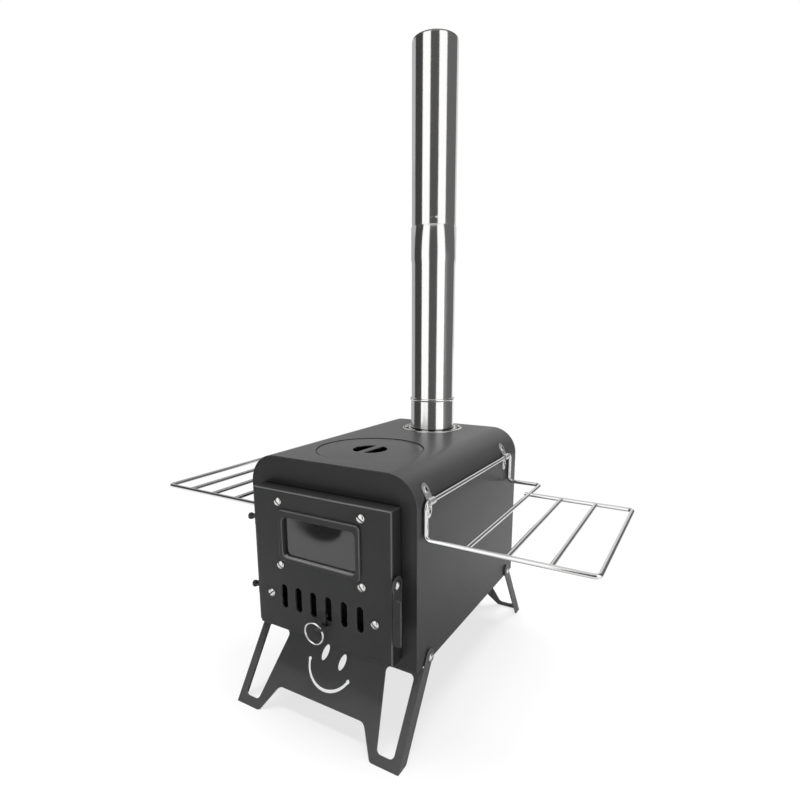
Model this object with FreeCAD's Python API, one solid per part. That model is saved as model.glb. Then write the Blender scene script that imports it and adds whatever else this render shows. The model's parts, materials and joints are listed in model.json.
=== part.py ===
import FreeCAD, Part
import math
import os

# Folding tent wood stove, in millimetres.
# The origin is on the ground under the middle of the firebox. +Z is up and -Y is the door side.

V = FreeCAD.Vector
X_AXIS = V(1, 0, 0)
Y_AXIS = V(0, 1, 0)
Z_AXIS = V(0, 0, 1)

# Firebox
body_width = 220.0
body_depth = 293.0
body_height = 211.0
leg_height = 87.5
corner_radius = 35.0
sheet = 1.2
panel_inset = 0.6
panel_flange = 10.0
tray_flange = 12.0
mouth_side = 35.0
mouth_height = 128.0
mouth_rise = 32.0
mouth_radius = 10.0

# Clearances and the one overrun of all cuts
seat_gap = 0.1
pin_gap = 0.08
play_gap = 0.3
hole_gap = 0.1
overrun = 5.0

# Fire grate
grate_side_gap = 14.0
grate_end_gap = 20.0
grate_rise = 13.0
grate_slot_length = 70.0
grate_slot_width = 8.0
grate_slot_inset = 10.8
grate_slot_count = 8
grate_row_offset = 60.0

# Cook lid
lid_front_space = 21.2
lid_corner_space = 12.2
lid_gap = 1.7
lid_recess = 0.8
lid_edge = 0.5
ledge_lap = 6.0
finger_radius = 20.8
finger_bridge = 8.6
finger_turn_deg = -3.0
finger_corner = 2.0

# Chimney
pipe_radius = 29.5
pipe_wall = 0.7
pipe_rear_inset = 46.4
socket_height = 44.0
socket_lip = 2.6
socket_bead = 1.2
socket_bead_height = 4.0
collar_radius = 42.3
collar_screw_circle = 37.2
collar_screw_angle_deg = 30.0
lower_pipe_rise = 272.0
bell_length = 41.0
bell_taper = 7.0
upper_pipe_length = 263.0
rim_height = 4.1
rim_bead = 0.3
bead_round_share = 0.9

# Screws, nuts and rivets
small_shank = 2.0
small_head = 4.9
small_head_height = 2.4
small_nut = 4.0
small_nut_height = 3.2
drive_slot = 1.3
drive_depth = 1.1
collar_head = 3.9
rivet_head = 4.0
rivet_head_height = 1.2
rivet_shank = 2.2
rivet_tail = 2.9
rivet_tail_height = 1.5
rivet_hollow = 1.9
rivet_hollow_depth = 0.9

# Door
door_side = 19.0
door_height = 167.5
door_rise = 10.5
door_depth = 18.0
door_bend = 2.2
door_back_gap = 0.5
window_width = 97.0
window_height = 46.0
window_rise = 125.9
window_radius = 5.5
frame_face = 6.0
frame_top = 8.4
frame_corner = 5.5
frame_proud = 3.0
frame_bend = 2.2
frame_turn = 1.8
glass_lap = 9.5
glass_thickness = 3.0
gasket_thickness = 0.8
clamp_lap = 13.5
window_screw_side = 6.5
window_screw_up = 39.1
window_screw_down = 35.2
screw_end = 1.0

# Air slots, damper slide and pull ring
slot_count = 6
slot_side = 39.25
slot_width = 9.3
slot_length = 29.6
slot_rise = 53.2
damper_screw_side = 20.5
damper_travel = 6.4
damper_side = 10.5
damper_height = 39.0
damper_slot_width = 4.6
tab_thickness = 1.5
tab_height = 4.3
tongue_left = 5.0
tongue_right = 4.9
tongue_rise = 33.0
tongue_reach = 12.0
tongue_hole_left = 1.1
tongue_hole_length = 6.9
tongue_hole_width = 4.8
tongue_hole_reach = 8.0
ring_radius = 12.25
ring_wire = 1.25
ring_hang_deg = 45.6

# Hinges
hinge_from_side = 6.0
hinge_forward = 11.0
hinge_heights = (54.4, 139.2)
hinge_lug_radius = 3.6
hinge_lug = 1.5
hinge_pin = 1.8
hinge_ball = 3.5
hinge_dome = 2.4
hinge_foot = 3.0
hinge_foot_height = 1.2
bracket_height = 20.0
bracket_thickness = 1.5
bracket_reach = 10.1
lug_plate_height = 14.0
lug_plate_depth = 12.0

# Latch
latch_forward = 13.0
latch_rise = 100.6
lever_thickness = 1.5
lever_stand = 2.2
lever_eye = 9.0
lever_half = 8.2
lever_top_drop = 12.0
lever_bottom_drop = 62.3
lever_grip = 9.7
lever_corner = 2.5
lever_heel = 5.0
spindle_radius = 2.4
spindle_shoulder = 5.0
spindle_inner = 6.5
latch_shank = 1.2
cam_thickness = 2.0
cam_inset = 3.5
cam_hub = 3.4
cam_inner = 9.5
cam_outer = 12.2
cam_sweep_deg = 50.0
cam_root_deg = 12.0
keeper_lip_forward = 5.0
keeper_lip_top = 7.4
keeper_lip_drop = 4.6
keeper_width = 5.0
keeper_foot = 14.0

# Legs
leg_lean_deg = 32.7
leg_sheet = 1.5
leg_side_gap = 1.0
leg_bolt_inset = 24.9
leg_bolt_rise = 5.5
leg_plate_offset = 6.0
leg_flange_back = 6.5
leg_ear = 9.0
leg_ear_round = 6.0
leg_bend = 1.2
leg_top_drop = 12.0
leg_crotch_drop = 82.7
leg_crotch_half = 59.5
leg_crotch_radius = 9.0
leg_foot_width = 30.5
leg_foot_drop = 123.0
leg_toe_radius = 4.0
leg_inner_toe_radius = 5.0
bay_top = 21.2
bay_bottom = 104.8
bay_edge = 9.3
bay_top_width = 35.6
bay_bottom_width = 20.4
bay_radius = 5.5
leg_head = 4.5
leg_head_height = 2.8
leg_washer_height = 0.8

# Smiling cut-out in the front leg plate
face_turn_deg = 9.0
eye_spacing = 12.8
eye_rise = 6.0
eye_half_width = 4.3
eye_half_height = 9.3
smile_radius = 30.2
smile_half_stroke = 1.7
smile_end = 2.4
smile_half_span_deg = 73.0
smile_drop = 38.4

# Side shelves
wire = 2.5
shelf_bar_out = 2.8
shelf_bar_drop = 30.0
shelf_drop = 37.5
shelf_front_inset = 12.0
shelf_rear_inset = 33.5
shelf_rail_inset = 82.0
shelf_reach = 168.6
shelf_first_wire = 46.5
shelf_wire_pitch = 40.5
shelf_rail_overhang = 5.5
wire_bend = 5.5

# Shelf clips
clip_sheet = 1.2
clip_front_inset = 10.5
clip_rear_inset = 16.5
clip_half_width = 5.5
clip_gap = 0.15
clip_root = 6.2
clip_tip = 5.0
clip_tip_drop = 2.3
clip_rivet_drop = 10.6
clip_ear_turn_deg = 27.0
clip_upper_rise = 10.4

# Places worked out from the sizes above
half_width = body_width / 2
front = -body_depth / 2
rear = body_depth / 2
base = leg_height
top = base + body_height
panel_face = front + panel_inset
inner_half = half_width - sheet
inner_top = top - sheet
inner_radius = corner_radius - sheet
lid_radius = half_width - corner_radius - lid_corner_space
lid_y = front + lid_front_space + lid_radius
pipe_y = rear - pipe_rear_inset
door_front = front - door_depth
door_back = panel_face - door_back_gap
door_half = half_width - door_side
mouth_width = body_width - 2 * mouth_side
damper_half_length = door_half - damper_side
damper_screw_x = door_half - damper_screw_side
slot_pitch = 2 * (door_half - slot_side) / (slot_count - 1)
tab_x = slot_pitch / 2 - slot_width / 2 + play_gap
tongue_hole_x = tab_x - tongue_hole_left
window_screw_x = window_width / 2 + window_screw_side
door_bottom = base + door_rise
door_top = door_bottom + door_height
window_z = base + window_rise
frame_front = door_front - frame_proud
glass_front = door_front + sheet + gasket_thickness
clamp_front = glass_front + glass_thickness
clamp_back = clamp_front + sheet
slot_z = base + slot_rise
hinge_x = -half_width + hinge_from_side
hinge_y = front - hinge_forward
latch_y = front - latch_forward
latch_z = base + latch_rise
lever_inner = door_half + lever_stand
lever_outer = lever_inner + lever_thickness
damper_front = door_front + sheet + play_gap
damper_back = damper_front + sheet
bell_inner = pipe_radius + seat_gap
bell_outer = bell_inner + pipe_wall
leg_half = half_width + leg_side_gap + leg_sheet
bolt_y = front + leg_bolt_inset
bolt_z = base + leg_bolt_rise
leg_lean = math.radians(leg_lean_deg)
leg_front = leg_plate_offset + leg_sheet
leg_ground = (bolt_z + leg_front * math.sin(leg_lean)) / math.cos(leg_lean)
bar_x = half_width + shelf_bar_out
bar_z = top - shelf_bar_drop
rack_z = bar_z - shelf_drop
shelf_front_y = front + shelf_front_inset
shelf_rear_y = rear - shelf_rear_inset
shelf_rail_y = rear - shelf_rail_inset
first_wire_x = half_width + shelf_first_wire
shelf_end_x = half_width + shelf_reach


def block(x0, x1, y0, y1, z0, z1):
    return Part.makeBox(x1 - x0, y1 - y0, z1 - z0, V(x0, y0, z0))


def rod_x(radius, x0, x1, y, z):
    return Part.makeCylinder(radius, x1 - x0, V(x0, y, z), X_AXIS)


def rod_y(radius, y0, y1, x, z):
    return Part.makeCylinder(radius, y1 - y0, V(x, y0, z), Y_AXIS)


def rod_z(radius, z0, z1, x, y):
    return Part.makeCylinder(radius, z1 - z0, V(x, y, z0), Z_AXIS)


def runs_along(edge, axis):
    """True for a straight edge parallel to the axis."""
    if len(edge.Vertexes) < 2 or not isinstance(edge.Curve, Part.Line):
        return False
    step = edge.Vertexes[1].Point.sub(edge.Vertexes[0].Point)
    return abs(step.dot(axis)) > 0.999 * step.Length


def rounded(solid, radius, axis):
    """Rounds every straight edge that runs along the axis."""
    return solid.makeFillet(radius, [e for e in solid.Edges if runs_along(e, axis)])


def rounded_where(solid, radius, test):
    """Rounds the edges that the test picks."""
    return solid.makeFillet(radius, [e for e in solid.Edges if test(e)])


def near(a, b):
    return abs(a - b) < seat_gap / 2


def loop_of(points):
    return Part.makePolygon([V(*p) for p in points] + [V(*points[0])])


def slab_y(points, y0, y1):
    """Prism along Y over an outline of (x, z) points."""
    face = Part.Face(loop_of([(x, y0, z) for x, z in points]))
    return face.extrude(V(0, y1 - y0, 0))


def slab_x(points, x0, x1):
    """Prism along X over an outline of (y, z) points."""
    face = Part.Face(loop_of([(x0, y, z) for y, z in points]))
    return face.extrude(V(x1 - x0, 0, 0))


def opening_y(width, height, radius, y0, y1, z):
    """Block with rounded corners along Y, centred on the stove's middle plane."""
    solid = block(-width / 2, width / 2, y0, y1, z - height / 2, z + height / 2)
    return rounded(solid, radius, Y_AXIS)


def tapered(first, first_radius, second, second_radius, x0, x1):
    """Slab along X whose outline is the hull of two circles at (y, z) centres."""
    first_point = V(0, *first)
    second_point = V(0, *second)
    step = second_point.sub(first_point)
    lean = math.acos((first_radius - second_radius) / step.Length)
    heading = math.atan2(step.z, step.y)
    corners = []
    for centre, radius, sign in (
        (first, first_radius, 1),
        (second, second_radius, 1),
        (second, second_radius, -1),
        (first, first_radius, -1),
    ):
        angle = heading + sign * lean
        corners.append((centre[0] + radius * math.cos(angle), centre[1] + radius * math.sin(angle)))
    solid = slab_x(corners, x0, x1)
    ends = [rod_x(first_radius, x0, x1, *first), rod_x(second_radius, x0, x1, *second)]
    return solid.fuse(ends).removeSplitter()


def wire_path(points, bend):
    """Straight runs joined by round bends."""
    edges = []
    start = V(*points[0])
    for i in range(1, len(points) - 1):
        here = V(*points[i])
        before = V(*points[i - 1]).sub(here).normalize()
        after = V(*points[i + 1]).sub(here).normalize()
        half = before.getAngle(after) / 2
        tangent = bend / math.tan(half)
        entry = here + before * tangent
        leave = here + after * tangent
        inward = (before + after).normalize()
        middle = here + inward * (bend / math.sin(half) - bend)
        edges.append(Part.LineSegment(start, entry).toShape())
        edges.append(Part.Arc(entry, middle, leave).toShape())
        start = leave
    edges.append(Part.LineSegment(start, V(*points[-1])).toShape())
    return Part.Wire(edges)


def bent_rod(points, radius, bend):
    path = wire_path(points, bend)
    heading = V(*points[1]).sub(V(*points[0]))
    section = Part.Wire(Part.Circle(V(*points[0]), heading, radius).toShape())
    return path.makePipeShell([section], True, False)


def hexagon(radius, height):
    points = []
    for i in range(6):
        angle = math.radians(60 * i)
        points.append((radius * math.cos(angle), radius * math.sin(angle), 0))
    return Part.Face(loop_of(points)).extrude(V(0, 0, height))


def screw(head_radius, head_height, shank_radius, length, turn_deg):
    """Pan head above Z=0 with a turned driver slot, shank below."""
    head = Part.makeCylinder(head_radius, head_height)
    rim = [e for e in head.Edges if near(e.BoundBox.ZMin, head_height) and not runs_along(e, Z_AXIS)]
    head = head.makeFillet(head_height / 2, rim)
    slot_low = head_height - drive_depth
    cut = block(-head_radius, head_radius, -drive_slot / 2, drive_slot / 2, slot_low, head_height)
    cut.rotate(V(), Z_AXIS, turn_deg)
    shank = Part.makeCylinder(shank_radius, length, V(0, 0, -length))
    return head.cut(cut).fuse(shank).removeSplitter()


def nut():
    bore = Part.makeCylinder(small_shank + pin_gap / 2, small_nut_height)
    return hexagon(small_nut, small_nut_height).cut(bore)


def rivet(grip):
    """Hollow rivet: head above Z=0, tail under the grip."""
    head = Part.makeCylinder(rivet_head, rivet_head_height)
    rim = [e for e in head.Edges if near(e.BoundBox.ZMin, rivet_head_height)]
    head = head.makeFillet(rivet_head_height / 2, rim)
    hollow_low = rivet_head_height - rivet_hollow_depth
    hollow = Part.makeCylinder(rivet_hollow, rivet_hollow_depth, V(0, 0, hollow_low))
    shank = Part.makeCylinder(rivet_shank, grip, V(0, 0, -grip))
    tail = Part.makeCylinder(rivet_tail, rivet_tail_height, V(0, 0, -grip - rivet_tail_height))
    return head.cut(hollow).fuse([shank, tail]).removeSplitter()


def placed(solid, point, direction):
    """Turns the solid's +Z toward the direction and moves its zero to the point."""
    copy = solid.copy()
    copy.Placement = FreeCAD.Placement(point, FreeCAD.Rotation(Z_AXIS, direction))
    return copy


def mirrored(shape, normal):
    return shape.mirror(V(), normal)


def group(solids):
    return Part.makeCompound(solids)


def tunnel(half, low, high, radius, y0, y1):
    """Prism along Y with two rounded top corners."""
    solid = block(-half, half, y0, y1, low, high)
    return rounded_where(solid, radius, lambda e: runs_along(e, Y_AXIS) and near(e.BoundBox.ZMin, high))


def clip_places():
    """Clip middles along Y, front and rear."""
    return (shelf_front_y + clip_front_inset, shelf_rear_y - clip_rear_inset)


def collar_screw_places():
    for turn_deg in (collar_screw_angle_deg, collar_screw_angle_deg + 180):
        angle = math.radians(turn_deg)
        yield collar_screw_circle * math.cos(angle), pipe_y + collar_screw_circle * math.sin(angle)


def upper_rivet_line():
    """Seat and outward direction of the clip's upper rivet, on the rounded corner, as (x, z) pairs."""
    angle = math.radians(clip_ear_turn_deg)
    out = (math.cos(angle), math.sin(angle))
    middle_x = half_width - corner_radius
    middle_z = top - corner_radius
    seat = (middle_x + corner_radius * out[0], middle_z + corner_radius * out[1])
    return seat, out


def body_shell():
    outer = tunnel(half_width, base, top, corner_radius, front, rear)
    inner = tunnel(inner_half, base - overrun, inner_top, inner_radius, front - overrun, rear + overrun)
    solid = outer.cut(inner)
    cuts = [rod_z(lid_radius + lid_gap, inner_top - overrun, top + overrun, 0, lid_y)]
    cuts.append(rod_z(bell_outer + hole_gap, inner_top - overrun, top + overrun, 0, pipe_y))
    for x, y in collar_screw_places():
        cuts.append(rod_z(small_shank + hole_gap, inner_top - overrun, top + overrun, x, y))
    for side in (-1, 1):
        for y in (bolt_y, -bolt_y):
            x = side * half_width
            cuts.append(rod_x(small_shank + hole_gap, x - overrun, x + overrun, y, bolt_z))
        for y in clip_places():
            x = side * half_width
            low_z = bar_z - clip_rivet_drop
            cuts.append(rod_x(rivet_shank + hole_gap, x - overrun, x + overrun, y, low_z))
            seat, out = upper_rivet_line()
            start = V(side * (seat[0] - overrun * out[0]), y, seat[1] - overrun * out[1])
            way = V(side * out[0], 0, out[1])
            cuts.append(Part.makeCylinder(rivet_shank + hole_gap, overrun * 2, start, way))
    return solid.cut(cuts)


def end_panel():
    """Shallow pan that closes one end of the firebox, drawn for the front end without its mouth."""
    back = panel_face + panel_flange
    outer = tunnel(inner_half, base, inner_top, inner_radius, panel_face, back)
    low = base + sheet
    inner_corner = inner_radius - sheet
    face = panel_face + sheet
    inner = tunnel(inner_half - sheet, low, inner_top - sheet, inner_corner, face, back + overrun)
    return outer.cut(inner)


def front_panel():
    middle = base + mouth_rise + mouth_height / 2
    y0 = panel_face - overrun
    y1 = panel_face + overrun
    mouth = opening_y(mouth_width, mouth_height, mouth_radius, y0, y1, middle)
    return end_panel().cut(mouth)


def rear_panel():
    return mirrored(end_panel(), Y_AXIS)


def floor_tray():
    y0 = panel_face + panel_flange
    outer = block(-inner_half, inner_half, y0, -y0, base, base + tray_flange)
    hollow_half = inner_half - sheet
    solid = outer.cut(block(-hollow_half, hollow_half, y0 - overrun, overrun - y0, base + sheet, top))
    holes = []
    for y in (bolt_y, -bolt_y):
        holes.append(rod_x(small_shank + hole_gap, -half_width, half_width, y, bolt_z))
    return solid.cut(holes)


def fire_grate():
    half = inner_half - grate_side_gap
    y0 = panel_face + panel_flange + grate_end_gap
    low = base + sheet
    high = low + grate_rise
    solid = block(-half, half, y0, -y0, low, high)
    hollow = block(-half - overrun, half + overrun, y0 + sheet, -y0 - sheet, low - overrun, high - sheet)
    solid = solid.cut(hollow)
    slot_half = grate_slot_width / 2
    run = grate_slot_length / 2
    pitch = 2 * (half - grate_slot_inset) / (grate_slot_count - 1)
    cuts = []
    for i in range(grate_slot_count):
        x = (i - (grate_slot_count - 1) / 2) * pitch
        for y in (-grate_row_offset, grate_row_offset):
            cuts.append(block(x - slot_half, x + slot_half, y - run, y + run, low + sheet, top))
            cuts += [rod_z(slot_half, low + sheet, top, x, end) for end in (y - run, y + run)]
    return solid.cut(cuts)


def lid_ledge():
    seat = inner_top - lid_recess
    ring = rod_z(lid_radius + ledge_lap, seat - sheet, inner_top, 0, lid_y)
    hollow = rod_z(lid_radius + lid_gap, seat, top, 0, lid_y)
    return ring.cut([hollow, rod_z(lid_radius - ledge_lap, seat - overrun, top, 0, lid_y)])


def finger_slots():
    disc = rod_z(finger_radius, inner_top - overrun, top + overrun, 0, lid_y)
    bridge_half = finger_bridge / 2
    bridge = block(-bridge_half, bridge_half, -lid_radius, lid_radius, inner_top - overrun, top + overrun)
    bridge.rotate(V(), Z_AXIS, finger_turn_deg)
    bridge.translate(V(0, lid_y, 0))
    halves = disc.cut(bridge).Solids
    return [rounded(half, finger_corner, Z_AXIS) for half in halves]


def cook_lid():
    face = top + seat_gap - lid_recess
    plate = rod_z(lid_radius, face - sheet, face, 0, lid_y)
    plate = rounded_where(plate, lid_edge, lambda e: near(e.BoundBox.ZMin, face))
    return plate.cut(finger_slots())


def tube(outer, inner, z0, z1):
    solid = rod_z(outer, z0, z1, 0, pipe_y)
    return solid.cut(rod_z(inner, z0 - overrun, z1 + overrun, 0, pipe_y))


def ring_bead(radius, bead, z0, z1):
    """Rolled bead round a pipe: a plain band with rounded edges."""
    band = rod_z(radius + bead, z0, z1, 0, pipe_y)
    rims = [e for e in band.Edges if isinstance(e.Curve, Part.Circle)]
    band = band.makeFillet(bead * bead_round_share, rims)
    return band.cut(rod_z(radius, z0 - overrun, z1 + overrun, 0, pipe_y))


def chimney_socket():
    """Flange on the top, upright socket and the inward lip that the lower pipe stands on."""
    flange = tube(collar_radius, bell_inner, top, top + sheet)
    wall = tube(bell_outer, bell_inner, inner_top, top + socket_height)
    lip = tube(bell_inner, bell_inner - socket_lip, inner_top, inner_top + sheet)
    rim_top = top + socket_height
    bead = ring_bead(bell_outer, socket_bead, rim_top - socket_bead_height, rim_top)
    holes = []
    for x, y in collar_screw_places():
        holes.append(rod_z(small_shank + hole_gap, top - overrun, top + overrun, x, y))
    return flange.fuse([wall, lip, bead]).removeSplitter().cut(holes)


def collar_screws():
    one = screw(collar_head, small_head_height, small_shank, 2 * sheet + small_nut_height + screw_end, 0)
    return group([placed(one, V(x, y, top + sheet), Z_AXIS) for x, y in collar_screw_places()])


def collar_nuts():
    z = inner_top - small_nut_height
    return group([placed(nut(), V(x, y, z), Z_AXIS) for x, y in collar_screw_places()])


def lower_pipe():
    """Revolved sheet: plain tube, taper and the bell that takes the next pipe."""
    z0 = inner_top + sheet + seat_gap
    z1 = top + lower_pipe_rise
    bell_low = z1 - bell_length
    taper_low = bell_low - bell_taper
    inner = pipe_radius - pipe_wall
    points = [(inner, z0), (pipe_radius, z0), (pipe_radius, taper_low), (bell_outer, bell_low)]
    points += [(bell_outer, z1), (bell_inner, z1), (bell_inner, bell_low), (inner, taper_low)]
    return revolved(points)


def revolved(points):
    """Solid of revolution about the chimney's axis from (radius, z) points."""
    face = Part.Face(loop_of([(r, pipe_y, z) for r, z in points]))
    return face.revolve(V(0, pipe_y, 0), Z_AXIS, 360)


def upper_pipe():
    z0 = top + lower_pipe_rise - bell_length + seat_gap
    z1 = z0 + upper_pipe_length
    wall = tube(pipe_radius, pipe_radius - pipe_wall, z0, z1)
    return wall.fuse(ring_bead(pipe_radius, rim_bead, z1 - rim_height, z1)).removeSplitter()


def slot_places():
    return [(i - (slot_count - 1) / 2) * slot_pitch for i in range(slot_count)]


def round_slot(x, y0, y1, z, width, length):
    """Upright slot with round ends."""
    half = width / 2
    straight = length / 2 - half
    bar = block(x - half, x + half, y0, y1, z - straight, z + straight)
    ends = [rod_y(half, y0, y1, x, z - straight), rod_y(half, y0, y1, x, z + straight)]
    return bar.fuse(ends).removeSplitter()


def cross_slot(x0, x1, y0, y1, z, width):
    """Level slot with round ends, over the ends' centres x0 and x1."""
    half = width / 2
    bar = block(x0, x1, y0, y1, z - half, z + half)
    return bar.fuse([rod_y(half, y0, y1, x0, z), rod_y(half, y0, y1, x1, z)]).removeSplitter()


def window_screw_places():
    for x in (-window_screw_x, window_screw_x):
        for z in (window_z - window_screw_down, window_z + window_screw_up):
            yield x, z


def pan_block(inset, back):
    """The door pan's outer form, or its hollow when inset by the sheet."""
    half = door_half - inset
    face = door_front + inset
    solid = block(-half, half, face, back, door_bottom + inset, door_top - inset)
    return rounded_where(
        solid, door_bend - inset,
        lambda e: near(e.BoundBox.YMax, face) and e.BoundBox.YLength < seat_gap)


def on_window_lip(box):
    """True for an edge of the window opening on the frame's front."""
    level = near(box.YMin, frame_front) and box.YLength < seat_gap
    across = max(abs(box.XMin), abs(box.XMax)) < window_width / 2 + seat_gap
    upright = max(abs(box.ZMin - window_z), abs(box.ZMax - window_z)) < window_height / 2 + seat_gap
    return level and across and upright


def door_pan():
    """Pressed door: pan, raised window frame turned back to the glass, slots and screw holes."""
    solid = pan_block(0, door_back).cut(pan_block(sheet, door_back + overrun))
    outer_width = window_width + 2 * frame_face
    outer_height = window_height + frame_face + frame_top
    outer_z = window_z + (frame_top - frame_face) / 2
    face_back = door_front + sheet
    raised = opening_y(outer_width, outer_height, frame_corner, frame_front, face_back, outer_z)
    rim = [e for e in raised.Edges if near(e.BoundBox.YMax, frame_front) and e.BoundBox.YLength < seat_gap]
    raised = raised.makeFillet(frame_bend, rim)
    turned = opening_y(
        window_width + 2 * sheet, window_height + 2 * sheet, window_radius + sheet,
        frame_front + sheet, glass_front, window_z)
    hollow = opening_y(
        outer_width - 2 * sheet, outer_height - 2 * sheet, frame_corner - sheet,
        frame_front + sheet, face_back + overrun, outer_z)
    hollow = hollow.cut(turned)
    solid = solid.fuse(raised).cut(hollow).fuse(turned).removeSplitter()
    y0 = frame_front - overrun
    opening = opening_y(window_width, window_height, window_radius, y0, panel_face, window_z)
    solid = solid.cut(opening)
    lip = [e for e in solid.Edges if on_window_lip(e.BoundBox)]
    solid = solid.makeFillet(frame_turn, lip)
    cuts = []
    y0 = door_front - overrun
    y1 = door_front + overrun
    for x in slot_places():
        cuts.append(round_slot(x, y0, y1, slot_z, slot_width, slot_length))
    for x, z in window_screw_places():
        cuts.append(rod_y(small_shank + hole_gap, y0, y1, x, z))
    for x in (-damper_screw_x, damper_screw_x):
        cuts.append(rod_y(small_shank + hole_gap, y0, y1, x, slot_z))
    cuts.append(rod_x(spindle_radius + pin_gap, door_half - overrun, door_half + overrun, latch_y, latch_z))
    return solid.cut(cuts)


def door_lugs():
    """Two bent lugs on the door's left side, each with a hinge eye."""
    lugs = []
    side_x = -door_half
    for height in hinge_heights:
        z1 = base + height
        z0 = z1 - hinge_lug
        y0 = hinge_y - hinge_lug_radius
        y1 = hinge_y + hinge_lug_radius
        arm = block(hinge_x, side_x, y0, y1, z0, z1)
        eye = rod_z(hinge_lug_radius, z0, z1, hinge_x, hinge_y)
        middle = (z0 + z1) / 2
        plate_front = hinge_y - lug_plate_depth / 2
        plate_half = lug_plate_height / 2
        plate = block(
            side_x - bracket_thickness, side_x, plate_front, plate_front + lug_plate_depth,
            middle - plate_half, middle + plate_half)
        lug = arm.fuse([eye, plate]).removeSplitter()
        lugs.append(lug.cut(rod_z(hinge_pin + pin_gap, z0 - overrun, z1 + overrun, hinge_x, hinge_y)))
    return group(lugs)


def hinge_brackets():
    """Two angle brackets on the front panel; the pin stands in each one's level lug."""
    brackets = []
    x0 = hinge_x - hinge_lug_radius - play_gap
    for height in hinge_heights:
        z1 = base + height - hinge_lug - play_gap
        z0 = z1 - hinge_lug
        middle = (z0 + z1) / 2
        half = bracket_height / 2
        foot_y = panel_face - bracket_thickness
        foot = block(x0, x0 + bracket_reach, foot_y, panel_face, middle - half, middle + half)
        eye_x = hinge_x - hinge_lug_radius
        arm = block(eye_x, hinge_x + hinge_lug_radius, hinge_y, panel_face, z0, z1)
        eye = rod_z(hinge_lug_radius, z0, z1, hinge_x, hinge_y)
        bracket = foot.fuse([arm, eye]).removeSplitter()
        brackets.append(bracket.cut(rod_z(hinge_pin, z0 - overrun, z1 + overrun, hinge_x, hinge_y)))
    return group(brackets)


def hinge_pins():
    pins = []
    for height in hinge_heights:
        seat = base + height + play_gap
        foot_top = base + height - 2 * hinge_lug - play_gap
        ball_z = seat + hinge_dome - hinge_ball
        ball = Part.makeSphere(hinge_ball, V(hinge_x, hinge_y, ball_z))
        ball = ball.cut(rod_z(hinge_ball + overrun, base, seat, hinge_x, hinge_y))
        shank = rod_z(hinge_pin, foot_top - hinge_foot_height, seat + hinge_dome / 2, hinge_x, hinge_y)
        foot = rod_z(hinge_foot, foot_top - hinge_foot_height, foot_top, hinge_x, hinge_y)
        pins.append(ball.fuse([shank, foot]).removeSplitter())
    return group(pins)


def window_glass():
    return opening_y(
        window_width + 2 * glass_lap, window_height + 2 * glass_lap, sheet,
        glass_front, clamp_front, window_z)


def glass_gasket():
    outer = opening_y(
        window_width + 2 * glass_lap, window_height + 2 * glass_lap, sheet,
        door_front + sheet, glass_front, window_z)
    inner = opening_y(
        window_width + 2 * sheet + play_gap, window_height + 2 * sheet + play_gap, window_radius + sheet,
        door_front, clamp_front, window_z)
    return outer.cut(inner)


def glass_clamp():
    low = window_z - window_screw_down - small_head
    high = window_z + window_screw_up + small_head
    half = window_width / 2 + clamp_lap
    plate = rounded(block(-half, half, clamp_front, clamp_back, low, high), small_head, Y_AXIS)
    y0 = clamp_front - overrun
    y1 = clamp_back + overrun
    cuts = [opening_y(window_width, window_height, window_radius, y0, y1, window_z)]
    for x, z in window_screw_places():
        cuts.append(rod_y(small_shank + hole_gap, y0, y1, x, z))
    return plate.cut(cuts)


def window_screws():
    length = clamp_back - door_front + small_nut_height + sheet
    screws = []
    for i, (x, z) in enumerate(window_screw_places()):
        one = screw(small_head, small_head_height, small_shank, length, 35 + 40 * i)
        screws.append(placed(one, V(x, door_front, z), V(0, -1, 0)))
    return group(screws)


def window_nuts():
    return group([placed(nut(), V(x, clamp_back, z), Y_AXIS) for x, z in window_screw_places()])


def damper_slide():
    """Slotted plate behind the door front, with a tab bent out through a slot to the ring's tongue."""
    half = damper_half_length
    low = slot_z - damper_height / 2
    plate = block(-half, half, damper_front, damper_back, low, low + damper_height)
    y0 = damper_front - overrun
    y1 = damper_back + overrun
    cuts = []
    for x in slot_places():
        cuts.append(round_slot(x, y0, y1, slot_z, slot_width, slot_length))
    for x in (-damper_screw_x, damper_screw_x):
        cuts.append(cross_slot(x - damper_travel, x, y0, y1, slot_z, damper_slot_width))
    tab_low = slot_z - slot_length / 2 + tab_height
    tab_high = tab_low + tab_height
    tongue_z = base + tongue_rise
    outside = door_front - play_gap
    tab = block(tab_x, tab_x + tab_thickness, outside - tab_height / 2, damper_back, tab_low, tab_high)
    root = block(tab_x - slot_width / 4, tab_x, damper_front, damper_back, tab_low, tab_high)
    drop = block(tab_x, tab_x + tab_thickness, outside - tab_height / 2, outside, tongue_z, tab_high)
    tip_y = door_front - tongue_reach
    tongue = block(
        tab_x - tongue_left, tab_x + tongue_right, tip_y, outside, tongue_z, tongue_z + tab_thickness)
    tongue = rounded_where(
        tongue, tab_thickness, lambda e: runs_along(e, Z_AXIS) and near(e.BoundBox.YMin, tip_y))
    hole_half = (tongue_hole_length - tongue_hole_width) / 2
    hole_y = door_front - tongue_hole_reach
    hole = block(
        tongue_hole_x - hole_half, tongue_hole_x + hole_half, hole_y - tongue_hole_width / 2,
        hole_y + tongue_hole_width / 2, tongue_z - overrun, tongue_z + overrun)
    ends = []
    for x in (tongue_hole_x - hole_half, tongue_hole_x + hole_half):
        ends.append(rod_z(tongue_hole_width / 2, tongue_z - overrun, tongue_z + overrun, x, hole_y))
    return plate.cut(cuts).fuse([tab, root, drop, tongue]).removeSplitter().cut([hole] + ends)


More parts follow.
